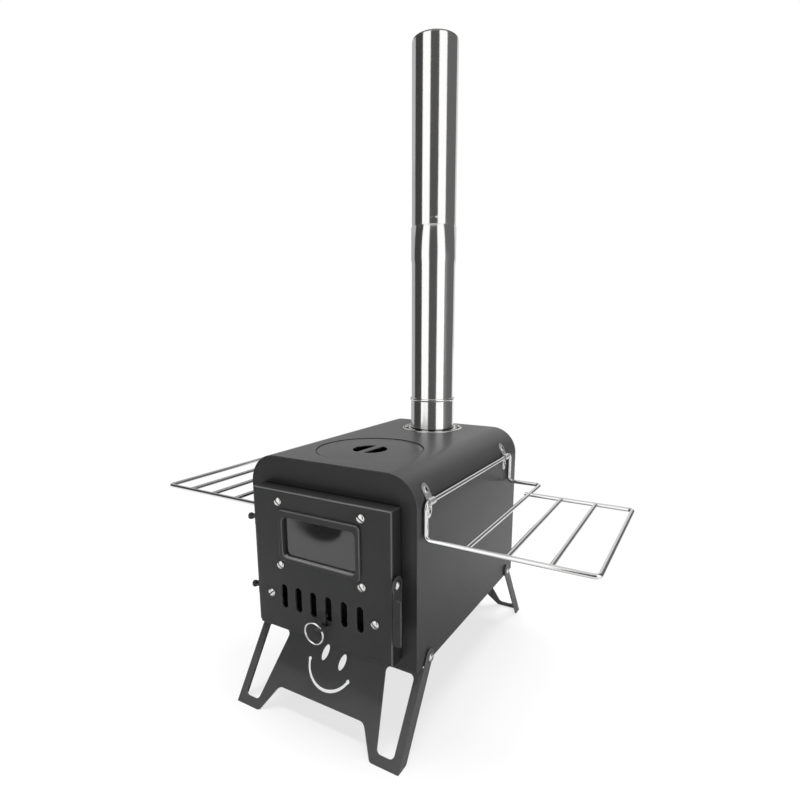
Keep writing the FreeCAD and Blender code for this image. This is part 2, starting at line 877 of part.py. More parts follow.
def damper_screws():
    length = damper_back - door_front + play_gap + small_nut_height + sheet
    screws = []
    for x, turn_deg in ((-damper_screw_x, 125), (damper_screw_x, 50)):
        one = screw(small_head, small_head_height, small_shank, length, turn_deg)
        screws.append(placed(one, V(x, door_front, slot_z), V(0, -1, 0)))
    return group(screws)


def damper_nuts():
    y = damper_back + play_gap
    return group([placed(nut(), V(x, y, slot_z), Y_AXIS) for x in (-damper_screw_x, damper_screw_x)])


def pull_ring():
    """Wire ring through the tongue's hole; it hangs from the point at the hang angle."""
    angle = math.radians(ring_hang_deg)
    x = tongue_hole_x - ring_radius * math.cos(angle)
    z = base + tongue_rise + tab_thickness / 2 - ring_radius * math.sin(angle)
    return Part.makeTorus(ring_radius, ring_wire, V(x, door_front - tongue_hole_reach, z), Y_AXIS)


def latch_lever():
    """Eye plate whose straight shank has a grip bent outward along its front edge."""
    top_z = latch_z - lever_top_drop
    bottom_z = latch_z - lever_bottom_drop
    y0 = latch_y - lever_half
    eye = rod_x(lever_eye, lever_inner, lever_outer, latch_y, latch_z)
    y1 = latch_y + lever_half
    shank = block(lever_inner, lever_outer, y0, y1, bottom_z, latch_z)
    shank = rounded_where(
        shank, lever_heel,
        lambda e: runs_along(e, X_AXIS) and near(e.BoundBox.ZMax, bottom_z) and near(e.BoundBox.YMin, y1))
    grip = block(lever_inner, lever_inner + lever_grip, y0, y0 + lever_thickness, bottom_z, top_z)
    grip = rounded_where(
        grip, lever_corner,
        lambda e: runs_along(e, Y_AXIS) and near(e.BoundBox.XMin, lever_inner + lever_grip))
    solid = eye.fuse([shank, grip]).removeSplitter()
    solid = rounded_where(
        solid, sheet,
        lambda e: runs_along(e, Z_AXIS) and near(e.BoundBox.XMax, lever_inner) and near(e.BoundBox.YMax, y0))
    bore = rod_x(latch_shank + hole_gap, lever_inner - overrun, lever_outer + overrun, latch_y, latch_z)
    return solid.cut(bore)


def latch_spindle():
    inner_x = door_half - sheet - spindle_inner
    shaft = rod_x(spindle_radius, inner_x, lever_inner, latch_y, latch_z)
    shoulder = rod_x(spindle_shoulder, door_half + play_gap, lever_inner, latch_y, latch_z)
    bore = rod_x(latch_shank, inner_x + sheet, lever_outer, latch_y, latch_z)
    return shaft.fuse(shoulder).removeSplitter().cut(bore)


def latch_screw():
    inner_x = door_half - spindle_inner + sheet
    one = screw(small_head, small_head_height, latch_shank, lever_outer - inner_x, 20)
    return placed(one, V(lever_outer, latch_y, latch_z), X_AXIS)


def sector(radius, x0, x1, start_deg, sweep_deg):
    """Pie slice about the latch axis; angles in the side view, from +Y toward +Z."""
    pie = Part.makeCylinder(radius, x1 - x0, V(), Z_AXIS, sweep_deg)
    pie.rotate(V(), Z_AXIS, start_deg)
    turn = FreeCAD.Rotation(Y_AXIS, Z_AXIS, X_AXIS, "ZXY")
    pie.Placement = FreeCAD.Placement(V(x0, latch_y, latch_z), turn).multiply(pie.Placement)
    return pie


def latch_cam():
    """Hook that turns up behind the keeper's lip."""
    x1 = door_half - sheet - cam_inset
    x0 = x1 - cam_thickness
    hub = rod_x(cam_hub, x0, x1, latch_y, latch_z)
    hook = sector(cam_outer, x0, x1, -cam_sweep_deg, cam_sweep_deg)
    gap = sector(cam_inner, x0 - overrun, x1 + overrun, cam_root_deg - cam_sweep_deg, cam_sweep_deg)
    hook = hook.cut(gap).fuse(hub).removeSplitter()
    return hook.cut(rod_x(spindle_radius, x0 - overrun, x1 + overrun, latch_y, latch_z))


def latch_keeper():
    """Bracket on the front panel whose lip hangs down in front of the hook."""
    x1 = door_half - sheet - cam_inset + play_gap
    x0 = x1 - keeper_width
    lip_front = front - keeper_lip_forward - bracket_thickness
    lip_top = latch_z + keeper_lip_top
    lip = block(x0, x1, lip_front, lip_front + bracket_thickness, latch_z - keeper_lip_drop, lip_top)
    web = block(x0, x1, lip_front, panel_face, lip_top, lip_top + bracket_thickness)
    foot = block(x0, x1, panel_face - bracket_thickness, panel_face, lip_top, lip_top + keeper_foot)
    return lip.fuse([web, foot]).removeSplitter()


def leg_channel():
    """Sheet bent to a channel: the plate in front and a side flange with a rounded ear at each end."""
    y0 = -leg_front
    inner = leg_half - leg_sheet
    channel = block(-leg_half, leg_half, y0, leg_flange_back, -leg_ground, leg_ear)
    channel = rounded_where(channel, leg_bend, lambda e: runs_along(e, Z_AXIS) and near(e.BoundBox.YMax, y0))
    y1 = leg_flange_back + overrun
    hollow = block(-inner, inner, -leg_plate_offset, y1, -leg_ground, leg_ear + overrun)
    side = block(-leg_half, leg_half, y0, leg_flange_back, -leg_ground, leg_ear)
    side = rounded_where(
        side, leg_ear_round, lambda e: runs_along(e, X_AXIS) and near(e.BoundBox.ZMin, leg_ear))
    return channel.cut(hollow).common(side)


def leg_openings():
    """What is cut from the channel: the plate above its top edge, the crotch and the bolt holes."""
    y0 = -leg_front - overrun
    inner = leg_half - leg_sheet
    foot_x = leg_half - leg_foot_width
    points = [
        (-leg_crotch_half, -leg_crotch_drop),
        (leg_crotch_half, -leg_crotch_drop),
        (foot_x, -leg_foot_drop),
        (-foot_x, -leg_foot_drop),
    ]
    crotch = rounded_where(
        slab_y(points, y0, overrun), leg_crotch_radius,
        lambda e: runs_along(e, Y_AXIS) and near(e.BoundBox.ZMin, -leg_crotch_drop))
    above = block(-inner, inner, y0, overrun, -leg_top_drop, leg_ear + overrun)
    bolt = rod_x(small_shank + pin_gap, -leg_half - overrun, leg_half + overrun, 0, 0)
    return [crotch, above, bolt]


def leg_bays():
    """Two slanted windows, one on each side."""
    edge = leg_half - bay_edge
    points = [
        (edge, -bay_top),
        (edge - bay_top_width, -bay_top),
        (edge - bay_bottom_width, -bay_bottom),
        (edge, -bay_bottom),
    ]
    y0 = -leg_front - overrun
    bay = rounded(slab_y(points, y0, overrun), bay_radius, Y_AXIS)
    return [bay, mirrored(bay, X_AXIS)]


def smiling_cuts():
    """Two upright oval eyes and a curved mouth with round ends, turned a little to one side."""
    y0 = -leg_front - overrun
    y1 = overrun
    cuts = []
    for side in (-1, 1):
        oval = Part.Ellipse(V(), eye_half_height, eye_half_width).toShape()
        eye = Part.Face(Part.Wire(oval)).extrude(V(0, 0, y1 - y0))
        turn = FreeCAD.Rotation(Z_AXIS, X_AXIS, Y_AXIS, "ZXY")
        eye.Placement = FreeCAD.Placement(V(side * eye_spacing, y0, eye_rise), turn)
        cuts.append(eye)
    span = math.radians(smile_half_span_deg)
    end_x = smile_radius * math.sin(span)
    end_z = -smile_radius * math.cos(span)
    ring = rod_y(smile_radius + smile_half_stroke, y0, y1, 0, 0)
    ring = ring.cut(rod_y(smile_radius - smile_half_stroke, y0, y1, 0, 0))
    fan = slab_y([(0, 0), (2 * end_x, 2 * end_z), (-2 * end_x, 2 * end_z)], y0, y1)
    ends = [rod_y(smile_end, y0, y1, side * end_x, end_z) for side in (-1, 1)]
    low = block(-2 * end_x, 2 * end_x, y0, y1, -2 * smile_radius, 2 * end_z)
    mouth = ring.common(fan.fuse(low))
    cuts.append(mouth.fuse(ends).removeSplitter())
    for cut in cuts:
        cut.rotate(V(), Y_AXIS, face_turn_deg)
        cut.translate(V(0, 0, -smile_drop))
    return cuts


def leg(extra_cuts):
    """Leg plate as it stands in front: built upright at the bolt, leaned and cut level with the ground."""
    solid = leg_channel().cut(leg_openings() + leg_bays() + extra_cuts)
    solid = rounded_where(
        solid, leg_inner_toe_radius,
        lambda e: runs_along(e, Y_AXIS) and near(e.BoundBox.ZMin, -leg_ground)
        and max(abs(e.BoundBox.XMin), abs(e.BoundBox.XMax)) < leg_half - leg_foot_width / 2)
    solid.rotate(V(), X_AXIS, -leg_lean_deg)
    solid.translate(V(0, bolt_y, bolt_z))
    ground = block(-leg_half - overrun, leg_half + overrun, -body_depth, body_depth, -leg_ground, 0)
    solid = solid.cut(ground)
    toe_y = max(e.BoundBox.YMax for e in solid.Edges if runs_along(e, X_AXIS) and near(e.BoundBox.ZMax, 0))
    return rounded_where(
        solid, leg_toe_radius,
        lambda e: runs_along(e, X_AXIS) and near(e.BoundBox.ZMax, 0) and near(e.BoundBox.YMax, toe_y))


def front_leg_plate():
    return leg(smiling_cuts())


def rear_leg_plate():
    return mirrored(leg([]), Y_AXIS)


def leg_bolts(y):
    reach = leg_half - inner_half + sheet + small_nut_height + sheet
    one = screw(leg_head, leg_head_height, small_shank, reach, 60)
    bolts = []
    for side in (-1, 1):
        seat = V(side * (leg_half + pin_gap), y, bolt_z)
        bolts.append(placed(one, seat, V(side, 0, 0)))
    return group(bolts)


def leg_washers():
    """Spacers between each leg's sides and the firebox."""
    ring = Part.makeCylinder(leg_head, leg_washer_height)
    ring = ring.cut(Part.makeCylinder(small_shank + pin_gap, leg_washer_height))
    washers = []
    for side in (-1, 1):
        for y in (bolt_y, -bolt_y):
            washers.append(placed(ring, V(side * half_width, y, bolt_z), V(side, 0, 0)))
    return group(washers)


def leg_nuts():
    nuts = []
    inner_x = inner_half - sheet
    for side in (-1, 1):
        for y in (bolt_y, -bolt_y):
            nuts.append(placed(nut(), V(side * inner_x, y, bolt_z), V(-side, 0, 0)))
    return group(nuts)


def shelf_loop(side):
    """One bent wire from the rear rail round to the first cross wire, by way of the hinge bar."""
    middle_y = (shelf_front_y + shelf_rear_y) / 2
    rack = bent_rod(
        [
            (side * (first_wire_x - shelf_rail_overhang), shelf_rail_y, rack_z),
            (side * shelf_end_x, shelf_rail_y, rack_z),
            (side * shelf_end_x, shelf_front_y, rack_z),
            (side * bar_x, shelf_front_y, rack_z),
            (side * bar_x, shelf_front_y, bar_z),
            (side * bar_x, middle_y, bar_z),
        ],
        wire, wire_bend)
    back = bent_rod(
        [
            (side * bar_x, middle_y, bar_z),
            (side * bar_x, shelf_rear_y, bar_z),
            (side * bar_x, shelf_rear_y, rack_z),
            (side * first_wire_x, shelf_rear_y, rack_z),
            (side * first_wire_x, shelf_front_y, rack_z),
        ],
        wire, wire_bend)
    return rack.fuse(back).removeSplitter()


def shelf_crossbars(side):
    bars = []
    for i in (1, 2):
        x = side * (first_wire_x + i * shelf_wire_pitch)
        bars.append(rod_y(wire, shelf_front_y + wire, shelf_rail_y - wire, x, rack_z))
    return group(bars)


def clip_ear(sign):
    """Flat ear below (-1) or above (+1) the bar: inner face at x=0, rivet at the origin."""
    return tapered((0, 0), clip_root, (0, sign * clip_tip_drop), clip_tip, 0, clip_sheet)


def one_clip(y):
    """Saddle over the bar with an ear on the flat wall and an ear on the rounded corner."""
    outer = wire + clip_gap + clip_sheet
    saddle = rod_y(outer, y - clip_half_width, y + clip_half_width, bar_x, bar_z)
    wall_side = block(half_width - overrun, half_width, y - overrun * 2, y + overrun * 2, base, top)
    saddle = saddle.cut(wall_side)
    lower = clip_ear(-1)
    lower.translate(V(half_width, y, bar_z - clip_rivet_drop))
    bridge = block(
        half_width, half_width + clip_sheet, y - clip_half_width, y + clip_half_width,
        bar_z - clip_rivet_drop, bar_z - wire)
    seat, out = upper_rivet_line()
    upper = clip_ear(1)
    upper_root = block(0, clip_sheet, -clip_half_width, clip_half_width, -clip_upper_rise, 0)
    upper = upper.fuse(upper_root)
    upper.rotate(V(), Y_AXIS, -clip_ear_turn_deg)
    step = pin_gap / 2
    upper.translate(V(seat[0] + step * out[0], y, seat[1] + step * out[1]))
    clip = saddle.fuse([lower, bridge, upper]).removeSplitter()
    cuts = [rod_y(wire + clip_gap, y - overrun * 2, y + overrun * 2, bar_x, bar_z), body_core()]
    rivet_z = bar_z - clip_rivet_drop
    cuts.append(rod_x(rivet_shank + hole_gap, half_width - overrun, half_width + overrun, y, rivet_z))
    start = V(seat[0] - overrun * out[0], y, seat[1] - overrun * out[1])
    cuts.append(Part.makeCylinder(rivet_shank + hole_gap, overrun * 2, start, V(out[0], 0, out[1])))
    return clip.cut(cuts)


def body_core():
    """The firebox's outer form, which the clips stay clear of."""
    grown = pin_gap / 2
    return tunnel(half_width, base, top + grown, corner_radius, front, rear)


def shelf_clips():
    return group([one_clip(y) for y in clip_places()])


def clip_rivets():
    rivets = []
    seat, out = upper_rivet_line()
    grip = clip_sheet + sheet
    for y in clip_places():
        low = V(half_width + clip_sheet, y, bar_z - clip_rivet_drop)
        rivets.append(placed(rivet(grip), low, X_AXIS))
        reach = clip_sheet + pin_gap / 2
        high = V(seat[0] + reach * out[0], y, seat[1] + reach * out[1])
        rivets.append(placed(rivet(grip + 2 * pin_gap), high, V(out[0], 0, out[1])))
    return group(rivets)


def all_parts():
    parts = {
        "body_shell": body_shell(),
        "front_panel": front_panel(),
        "rear_panel": rear_panel(),
        "floor_tray": floor_tray(),
        "fire_grate": fire_grate(),
        "lid_ledge": lid_ledge(),
        "cook_lid": cook_lid(),
        "chimney_socket": chimney_socket(),
        "collar_screws": collar_screws(),
        "collar_nuts": collar_nuts(),
        "lower_pipe": lower_pipe(),
        "upper_pipe": upper_pipe(),
        "door_pan": door_pan(),
        "door_lugs": door_lugs(),
        "hinge_brackets": hinge_brackets(),
        "hinge_pins": hinge_pins(),
        "window_glass": window_glass(),
        "glass_gasket": glass_gasket(),
        "glass_clamp": glass_clamp(),
        "window_screws": window_screws(),
        "window_nuts": window_nuts(),
        "damper_slide": damper_slide(),
        "damper_screws": damper_screws(),
        "damper_nuts": damper_nuts(),
        "pull_ring": pull_ring(),
        "latch_lever": latch_lever(),
        "latch_spindle": latch_spindle(),
        "latch_screw": latch_screw(),
        "latch_cam": latch_cam(),
        "latch_keeper": latch_keeper(),
        "front_leg_plate": front_leg_plate(),
        "rear_leg_plate": rear_leg_plate(),
        "front_leg_bolts": leg_bolts(bolt_y),
        "rear_leg_bolts": leg_bolts(-bolt_y),
        "leg_washers": leg_washers(),
        "leg_nuts": leg_nuts(),
    }
    for name, side in (("right_", 1), ("left_", -1)):
        parts[name + "shelf_loop"] = shelf_loop(side)
        parts[name + "shelf_crossbars"] = shelf_crossbars(side)
    for name, shape in (("shelf_clips", shelf_clips()), ("clip_rivets", clip_rivets())):
        parts["right_" + name] = shape
        parts["left_" + name] = mirrored(shape, X_AXIS)
    return parts


os.makedirs("parts", exist_ok=True)
for name, shape in all_parts().items():
    for number, solid in enumerate(shape.Solids):
        if not solid.isValid() or solid.Volume <= 0:
            print("not valid:", name, number)
    shape.exportStep("parts/" + name + ".step")
    print(name, len(shape.Solids), round(shape.Volume, 1))
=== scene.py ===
import json
import math
import bmesh
import bpy
from mathutils import Matrix, Quaternion, Vector

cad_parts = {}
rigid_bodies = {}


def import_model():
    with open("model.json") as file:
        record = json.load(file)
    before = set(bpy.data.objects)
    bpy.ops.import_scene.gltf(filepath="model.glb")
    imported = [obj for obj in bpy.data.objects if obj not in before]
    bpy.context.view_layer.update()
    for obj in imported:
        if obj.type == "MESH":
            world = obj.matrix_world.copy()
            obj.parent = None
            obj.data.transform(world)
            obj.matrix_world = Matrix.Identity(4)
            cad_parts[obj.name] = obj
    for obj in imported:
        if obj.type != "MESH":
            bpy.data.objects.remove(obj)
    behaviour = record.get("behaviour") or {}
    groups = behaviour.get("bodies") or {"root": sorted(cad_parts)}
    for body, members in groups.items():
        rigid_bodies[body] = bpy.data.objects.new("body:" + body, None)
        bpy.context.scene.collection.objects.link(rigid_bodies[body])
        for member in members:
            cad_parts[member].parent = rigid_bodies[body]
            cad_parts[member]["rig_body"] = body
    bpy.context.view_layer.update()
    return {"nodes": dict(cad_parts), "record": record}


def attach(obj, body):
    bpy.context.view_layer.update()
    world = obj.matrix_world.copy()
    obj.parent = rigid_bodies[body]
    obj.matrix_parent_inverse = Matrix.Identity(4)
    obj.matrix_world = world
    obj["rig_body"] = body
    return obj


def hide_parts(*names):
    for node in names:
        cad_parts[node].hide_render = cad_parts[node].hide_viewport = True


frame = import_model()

MM = 0.001

# Firebox shell
# One sheet of 1.2 mm mild steel, bent over two large corners and open at both ends and below.
# It is sprayed with silicone heat paint, which dries matt with a fine grain and greys where light
# grazes it. The cut edges are deburred, so they catch a thin line of light.


def linear(hex_code):
    """An sRGB hex value as the linear colour that a shader takes."""
    parts = [int(hex_code[i:i + 2], 16) / 255 for i in (1, 3, 5)]
    return [p / 12.92 if p <= 0.04045 else ((p + 0.055) / 1.055) ** 2.4 for p in parts] + [1]


def add(tree, kind, settings=None, links=None):
    """Adds one node: an input given a socket is linked to it, any other is set."""
    node = tree.nodes.new(kind)
    for name, value in (settings or {}).items():
        setattr(node, name, value)
    for name, value in (links or {}).items():
        socket = node.inputs[name]
        if isinstance(value, bpy.types.NodeSocket):
            tree.links.new(value, socket)
        else:
            socket.default_value = value
    return node


def blank(name):
    """A material with an empty tree, and the object's own coordinates in it."""
    material = bpy.data.materials.new(name)
    material.use_nodes = True
    tree = material.node_tree
    tree.nodes.clear()
    return material, tree, add(tree, "ShaderNodeTexCoord").outputs["Object"]


def sprayed_paint(name, deep, pale, highlight_tone, roughness):
    """Matt silicone heat paint: soft clouds of tone, sprayed grain, a painted highlight on edges,
    painted shade in seams.
    """
    material, tree, place = blank(name)
    cloud = add(tree, "ShaderNodeTexNoise", None, {
        "Vector": place, "Scale": 1 / (55 * MM), "Detail": 4.0, "Roughness": 0.6})
    tone = add(tree, "ShaderNodeMix", {"data_type": "RGBA"}, {
        0: cloud.outputs["Fac"], 6: linear(deep), 7: linear(pale)})
    # The real grain is about 0.3 mm; it is drawn 1.3 mm wide, which is the finest that shows.
    grain = add(tree, "ShaderNodeTexNoise", None, {
        "Vector": place, "Scale": 1 / (1.3 * MM), "Detail": 2.0, "Roughness": 0.5})
    # Painted highlight: edges, where the rounded normal turns from the flat one, are painted toward
    # the pale highlight tone in the clouds' pattern, and so are faces marked with it.
    round_normal = add(tree, "ShaderNodeBevel", {"samples": 4}, {"Radius": 0.7 * MM})
    flat_normal = add(tree, "ShaderNodeNewGeometry")
    turn = add(tree, "ShaderNodeVectorMath", {"operation": "DOT_PRODUCT"}, {
        0: round_normal.outputs[0], 1: flat_normal.outputs["Normal"]})
    edge = add(tree, "ShaderNodeMapRange", None, {
        "Value": turn.outputs["Value"], "From Min": 0.995, "From Max": 0.9,
        "To Min": 0.0, "To Max": 0.3})
    edge_highlight = add(tree, "ShaderNodeMath", {"operation": "MULTIPLY"}, {
        0: edge.outputs[0], 1: cloud.outputs["Fac"]})
    marked_highlight = add(tree, "ShaderNodeAttribute", {"attribute_name": "highlight_marks"})
    edge_highlight = add(tree, "ShaderNodeMath", {"operation": "MAXIMUM"}, {
        0: edge_highlight.outputs[0], 1: marked_highlight.outputs["Fac"]})
    colour = add(tree, "ShaderNodeMix", {"data_type": "RGBA"}, {
        0: edge_highlight.outputs[0], 6: tone.outputs[2], 7: linear(highlight_tone)})
    # Painted shade: seams narrower than about 2 mm, found by an occlusion test, and faces marked
    # with painted shade are painted near black.
    crevice_occlusion = add(tree, "ShaderNodeAmbientOcclusion", {"samples": 6}, {"Distance": 2.2 * MM})
    unshaded_share = add(tree, "ShaderNodeMapRange", None, {
        "Value": crevice_occlusion.outputs["AO"], "From Min": 0.3, "From Max": 0.85})
    painted_shade_marks = add(tree, "ShaderNodeAttribute", {"attribute_name": "painted_shade_marks"})
    unshaded_share = add(tree, "ShaderNodeMath", {"operation": "SUBTRACT", "use_clamp": True}, {
        0: unshaded_share.outputs[0], 1: painted_shade_marks.outputs["Fac"]})
    colour = add(tree, "ShaderNodeMix", {"data_type": "RGBA"}, {
        0: unshaded_share.outputs[0], 6: linear("#0b0b0c"), 7: colour.outputs[2]})
    gloss = add(tree, "ShaderNodeMapRange", None, {
        "Value": grain.outputs["Fac"], "From Min": 0.3, "From Max": 0.7,
        "To Min": roughness - 0.05, "To Max": roughness + 0.06})
    bump = add(tree, "ShaderNodeBump", None, {
        "Height": grain.outputs["Fac"], "Strength": 0.35, "Distance": 0.06 * MM})
    paint = add(tree, "ShaderNodeBsdfPrincipled", None, {
        "Base Color": colour.outputs[2], "Roughness": gloss.outputs[0], "Normal": bump.outputs[0],
        "Specular IOR Level": 0.2})
    add(tree, "ShaderNodeOutputMaterial", None, {"Surface": paint.outputs[0]})
    return material


def new_tree(name, **inputs):
    """A Geometry Nodes tree with the named inputs, and its group input node."""
    tree = bpy.data.node_groups.new(name, "GeometryNodeTree")
    tree.interface.new_socket(name="Geometry", in_out="INPUT", socket_type="NodeSocketGeometry")
    for label, kind in inputs.items():
        tree.interface.new_socket(
            name=label.replace("_", " "), in_out="INPUT", socket_type="NodeSocket" + kind)
    tree.interface.new_socket(name="Geometry", in_out="OUTPUT", socket_type="NodeSocketGeometry")
    return tree, add(tree, "NodeGroupInput").outputs


def end_tree(tree, geometry, material, smooth):
    """Closes a tree: real geometry, its shading and its material."""
    real = add(tree, "GeometryNodeRealizeInstances", None, {"Geometry": geometry})
    shaded = add(tree, "GeometryNodeSetShadeSmooth", None, {
        "Geometry": real.outputs[0], "Shade Smooth": smooth})
    coated = add(tree, "GeometryNodeSetMaterial", None, {
        "Geometry": shaded.outputs[0], "Material": material})
    add(tree, "NodeGroupOutput", None, {0: coated.outputs[0]})


def line_mesh(name, points, closed=False):
    """A bare chain of edges through the points, which are in millimetres."""
    mesh = bpy.data.meshes.new(name)
    edges = [(i, i + 1) for i in range(len(points) - 1)]
    if closed:
        edges.append((len(points) - 1, 0))
    mesh.from_pydata([Vector(p) * MM for p in points], edges, [])
    return mesh


def grown(name, tree, start, **sizes):
    """Runs a tree once on the starting mesh and keeps the result as a plain piece."""
    piece = bpy.data.objects.new(name, start)
    bpy.context.scene.collection.objects.link(piece)
    modifier = piece.modifiers.new("grow", "NODES")
    modifier.node_group = tree
    for item in tree.interface.items_tree:
        label = item.name.replace(" ", "_")
        if item.in_out == "INPUT" and label in sizes:
            modifier[item.identifier] = sizes[label]
    depsgraph = bpy.context.evaluated_depsgraph_get()
    mesh = bpy.data.meshes.new_from_object(piece.evaluated_get(depsgraph))
    piece.modifiers.clear()
    piece.data = mesh
    mesh.name = name
    return piece


def shade_round(work, sharp_deg):
    """Shades faces smooth into each other, but for edges sharper than the angle."""
    for face in work.faces:
        face.smooth = True
    for edge in work.edges:
        joined = len(edge.link_faces) == 2
        edge.smooth = joined and edge.calc_face_angle(0) < math.radians(sharp_deg)


def merged(mesh):
    """The mesh opened for work, with points less than a micrometre apart made one."""
    work = bmesh.new()
    work.from_mesh(mesh)
    bmesh.ops.remove_doubles(work, verts=work.verts, dist=0.001 * MM)
    return work


def outward(mesh, sharp_deg):
    """Merges doubles, turns every face out and shades the mesh."""
    work = merged(mesh)
    bmesh.ops.recalc_face_normals(work, faces=work.faces)
    shade_round(work, sharp_deg)
    work.to_mesh(mesh)
    work.free()


def deburr(piece, edge_mm, angle_deg=38):
    """Rounds the cut edges of a sheet piece."""
    bevel = piece.modifiers.new("deburr", "BEVEL")
    bevel.width = edge_mm * MM
    bevel.segments = 2
    bevel.limit_method = "ANGLE"
    bevel.angle_limit = math.radians(angle_deg)
    bevel.harden_normals = True
    bevel.use_clamp_overlap = True


def settle(piece, body, slot, *nodes):
    """Puts a finished piece on its body, in place of its nodes."""
    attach(piece, body)
    if nodes:
        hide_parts(*nodes)


def pin_mesh(name, pins, sides=48):
    """Plain round pins, each from one point to another, in millimetres."""
    work = bmesh.new()
    for start, end, radius in pins:
        start, end = Vector(start), Vector(end)
        turn = Vector((0, 0, 1)).rotation_difference(end - start).to_matrix().to_4x4()
        place = Matrix.Translation((start + end) / 2 * MM) @ turn
        bmesh.ops.create_cone(
            work, cap_ends=True, segments=sides, radius1=radius * MM, radius2=radius * MM,
            depth=(end - start).length * MM, matrix=place)
    mesh = bpy.data.meshes.new(name)
    work.to_mesh(mesh)
    work.free()
    return mesh


BODY_HALF, BODY_DEPTH, BODY_BASE, BODY_TOP, CORNER, SHEET = 110, 293, 87.5, 298.5, 35, 1.2
LID_Y, LID_HOLE, FLUE_Y, FLUE_HOLE = -62.5, 64.5, 100.1, 30.4
BOLT_Y, BOLT_Z, BOLT_HOLE = 121.6, 93.0, 2.1
CLIP_Y, RIVET_Z, RIVET_HOLE = (-124.0, 96.5), 257.9, 2.3
DRILL = 10
stove_paint = sprayed_paint("matt_heat_paint", "#363637", "#3f3f40", "#e0e0e0", 0.33)

tree, given = new_tree(
    "bent_sheet", Corner_Radius="Float", Sheet="Float", Depth="Float", Holes="Object")
path = add(tree, "GeometryNodeMeshToCurve", None, {"Mesh": given["Geometry"]})
bent = add(tree, "GeometryNodeFilletCurve", {"mode": "POLY"}, {
    "Curve": path.outputs[0], "Count": 20, "Radius": given["Corner Radius"]})
strip = add(tree, "GeometryNodeCurvePrimitiveQuadrilateral", None, {
    "Width": given["Sheet"], "Height": given["Depth"]})
sheet = add(tree, "GeometryNodeCurveToMesh", None, {
    "Curve": bent.outputs[0], "Profile Curve": strip.outputs[0], "Fill Caps": True})
holes = add(tree, "GeometryNodeObjectInfo", None, {"Object": given["Holes"]})
drilled = add(tree, "GeometryNodeMeshBoolean", {"operation": "DIFFERENCE"}, {
    "Mesh 1": sheet.outputs[0], "Mesh 2": holes.outputs["Geometry"]})
end_tree(tree, drilled.outputs["Mesh"], stove_paint, True)

pins = [
    ((0, LID_Y, BODY_TOP - DRILL), (0, LID_Y, BODY_TOP + DRILL), LID_HOLE),
    ((0, FLUE_Y, BODY_TOP - DRILL), (0, FLUE_Y, BODY_TOP + DRILL), FLUE_HOLE),
]
for side in (-1, 1):
    inside, outside = side * (BODY_HALF - DRILL), side * (BODY_HALF + DRILL)
    for y in (-BOLT_Y, BOLT_Y):
        pins.append(((inside, y, BOLT_Z), (outside, y, BOLT_Z), BOLT_HOLE))
    for y in CLIP_Y:
        pins.append(((inside, y, RIVET_Z), (outside, y, RIVET_Z), RIVET_HOLE))
hole_pins = bpy.data.objects.new("hole_pins", pin_mesh("hole_pins", pins, sides=96))
middle = BODY_HALF - SHEET / 2
shell = grown("firebox_shell", tree, line_mesh("shell_fold", [
    (-middle, 0, BODY_BASE), (-middle, 0, BODY_TOP - SHEET / 2),
    (middle, 0, BODY_TOP - SHEET / 2), (middle, 0, BODY_BASE)]),
    Corner_Radius=(CORNER - SHEET / 2) * MM, Sheet=SHEET * MM, Depth=BODY_DEPTH * MM,
    Holes=hole_pins)
bpy.data.objects.remove(hole_pins)
outward(shell.data, 30)
deburr(shell, edge_mm=0.3)
settle(shell, "firebox", "stove_paint", "body_shell")

# End panels, floor tray and lid ledge
# The front and rear panels are shallow pressed pans that slide into the shell's ends and are spot
# welded there, 0.6 mm in from its edge. The floor tray and the ring under the lid are of the same
# sheet.


def from_frame(name, node, material, edge_mm, sharp_deg=30):
    """A copy of a CAD node with its doubles merged and its cut edges deburred, in its place."""
    source = frame["nodes"][node]
    mesh = source.data.copy()
    mesh.name = name
    for label in ("custom_normal", "sharp_edge", "sharp_face"):
        if label in mesh.attributes:
            mesh.attributes.remove(mesh.attributes[label])
    work = merged(mesh)
    bmesh.ops.dissolve_limit(
        work, angle_limit=math.radians(0.4), verts=work.verts, edges=work.edges,
        use_dissolve_boundaries=False)
    shade_round(work, sharp_deg)
    work.to_mesh(mesh)
    work.free()
    mesh.materials.clear()
    mesh.materials.append(material)
    piece = bpy.data.objects.new(name, mesh)
    bpy.context.scene.collection.objects.link(piece)
    if edge_mm:
        deburr(piece, edge_mm)
    slot = next(s["material_slot"] for s in frame["record"]["subparts"] if s["node"] == node)
    settle(piece, source["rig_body"], slot, node)
    return piece


for node in ("front_panel", "rear_panel", "floor_tray", "lid_ledge"):
    from_frame("painted_" + node, node, stove_paint, edge_mm=0.25)

# Fire grate
# A loose plate of bare mill steel with rows of slots, turned down at two edges so that ash falls
# and air rises through it. Rolling scale leaves it grey, mottled and dull.
mill_steel, tree, place = blank("mill_scale_steel")
scale = add(tree, "ShaderNodeTexNoise", None, {
    "Vector": place, "Scale": 1 / (14 * MM), "Detail": 6.0, "Roughness": 0.65})
tone = add(tree, "ShaderNodeMix", {"data_type": "RGBA"}, {
    0: scale.outputs["Fac"], 6: linear("#4a4846"), 7: linear("#8b8883")})
gloss = add(tree, "ShaderNodeMapRange", None, {
    "Value": scale.outputs["Fac"], "To Min": 0.35, "To Max": 0.62})
bump = add(tree, "ShaderNodeBump", None, {
    "Height": scale.outputs["Fac"], "Strength": 0.3, "Distance": 0.1 * MM})
metal = add(tree, "ShaderNodeBsdfPrincipled", None, {
    "Base Color": tone.outputs[2], "Metallic": 0.9, "Roughness": gloss.outputs[0],
    "Normal": bump.outputs[0]})
add(tree, "ShaderNodeOutputMaterial", None, {"Surface": metal.outputs[0]})
from_frame("slotted_fire_grate", "fire_grate", mill_steel, edge_mm=0.2)

# Cook lid
# A round plate cut from the shell's own sheet, with two half-moon finger slots either side of a
# bridge. It lies in the ring, a little below the top's face, with a thin dark gap all round.
from_frame("round_cook_lid", "cook_lid", stove_paint, edge_mm=0.3)

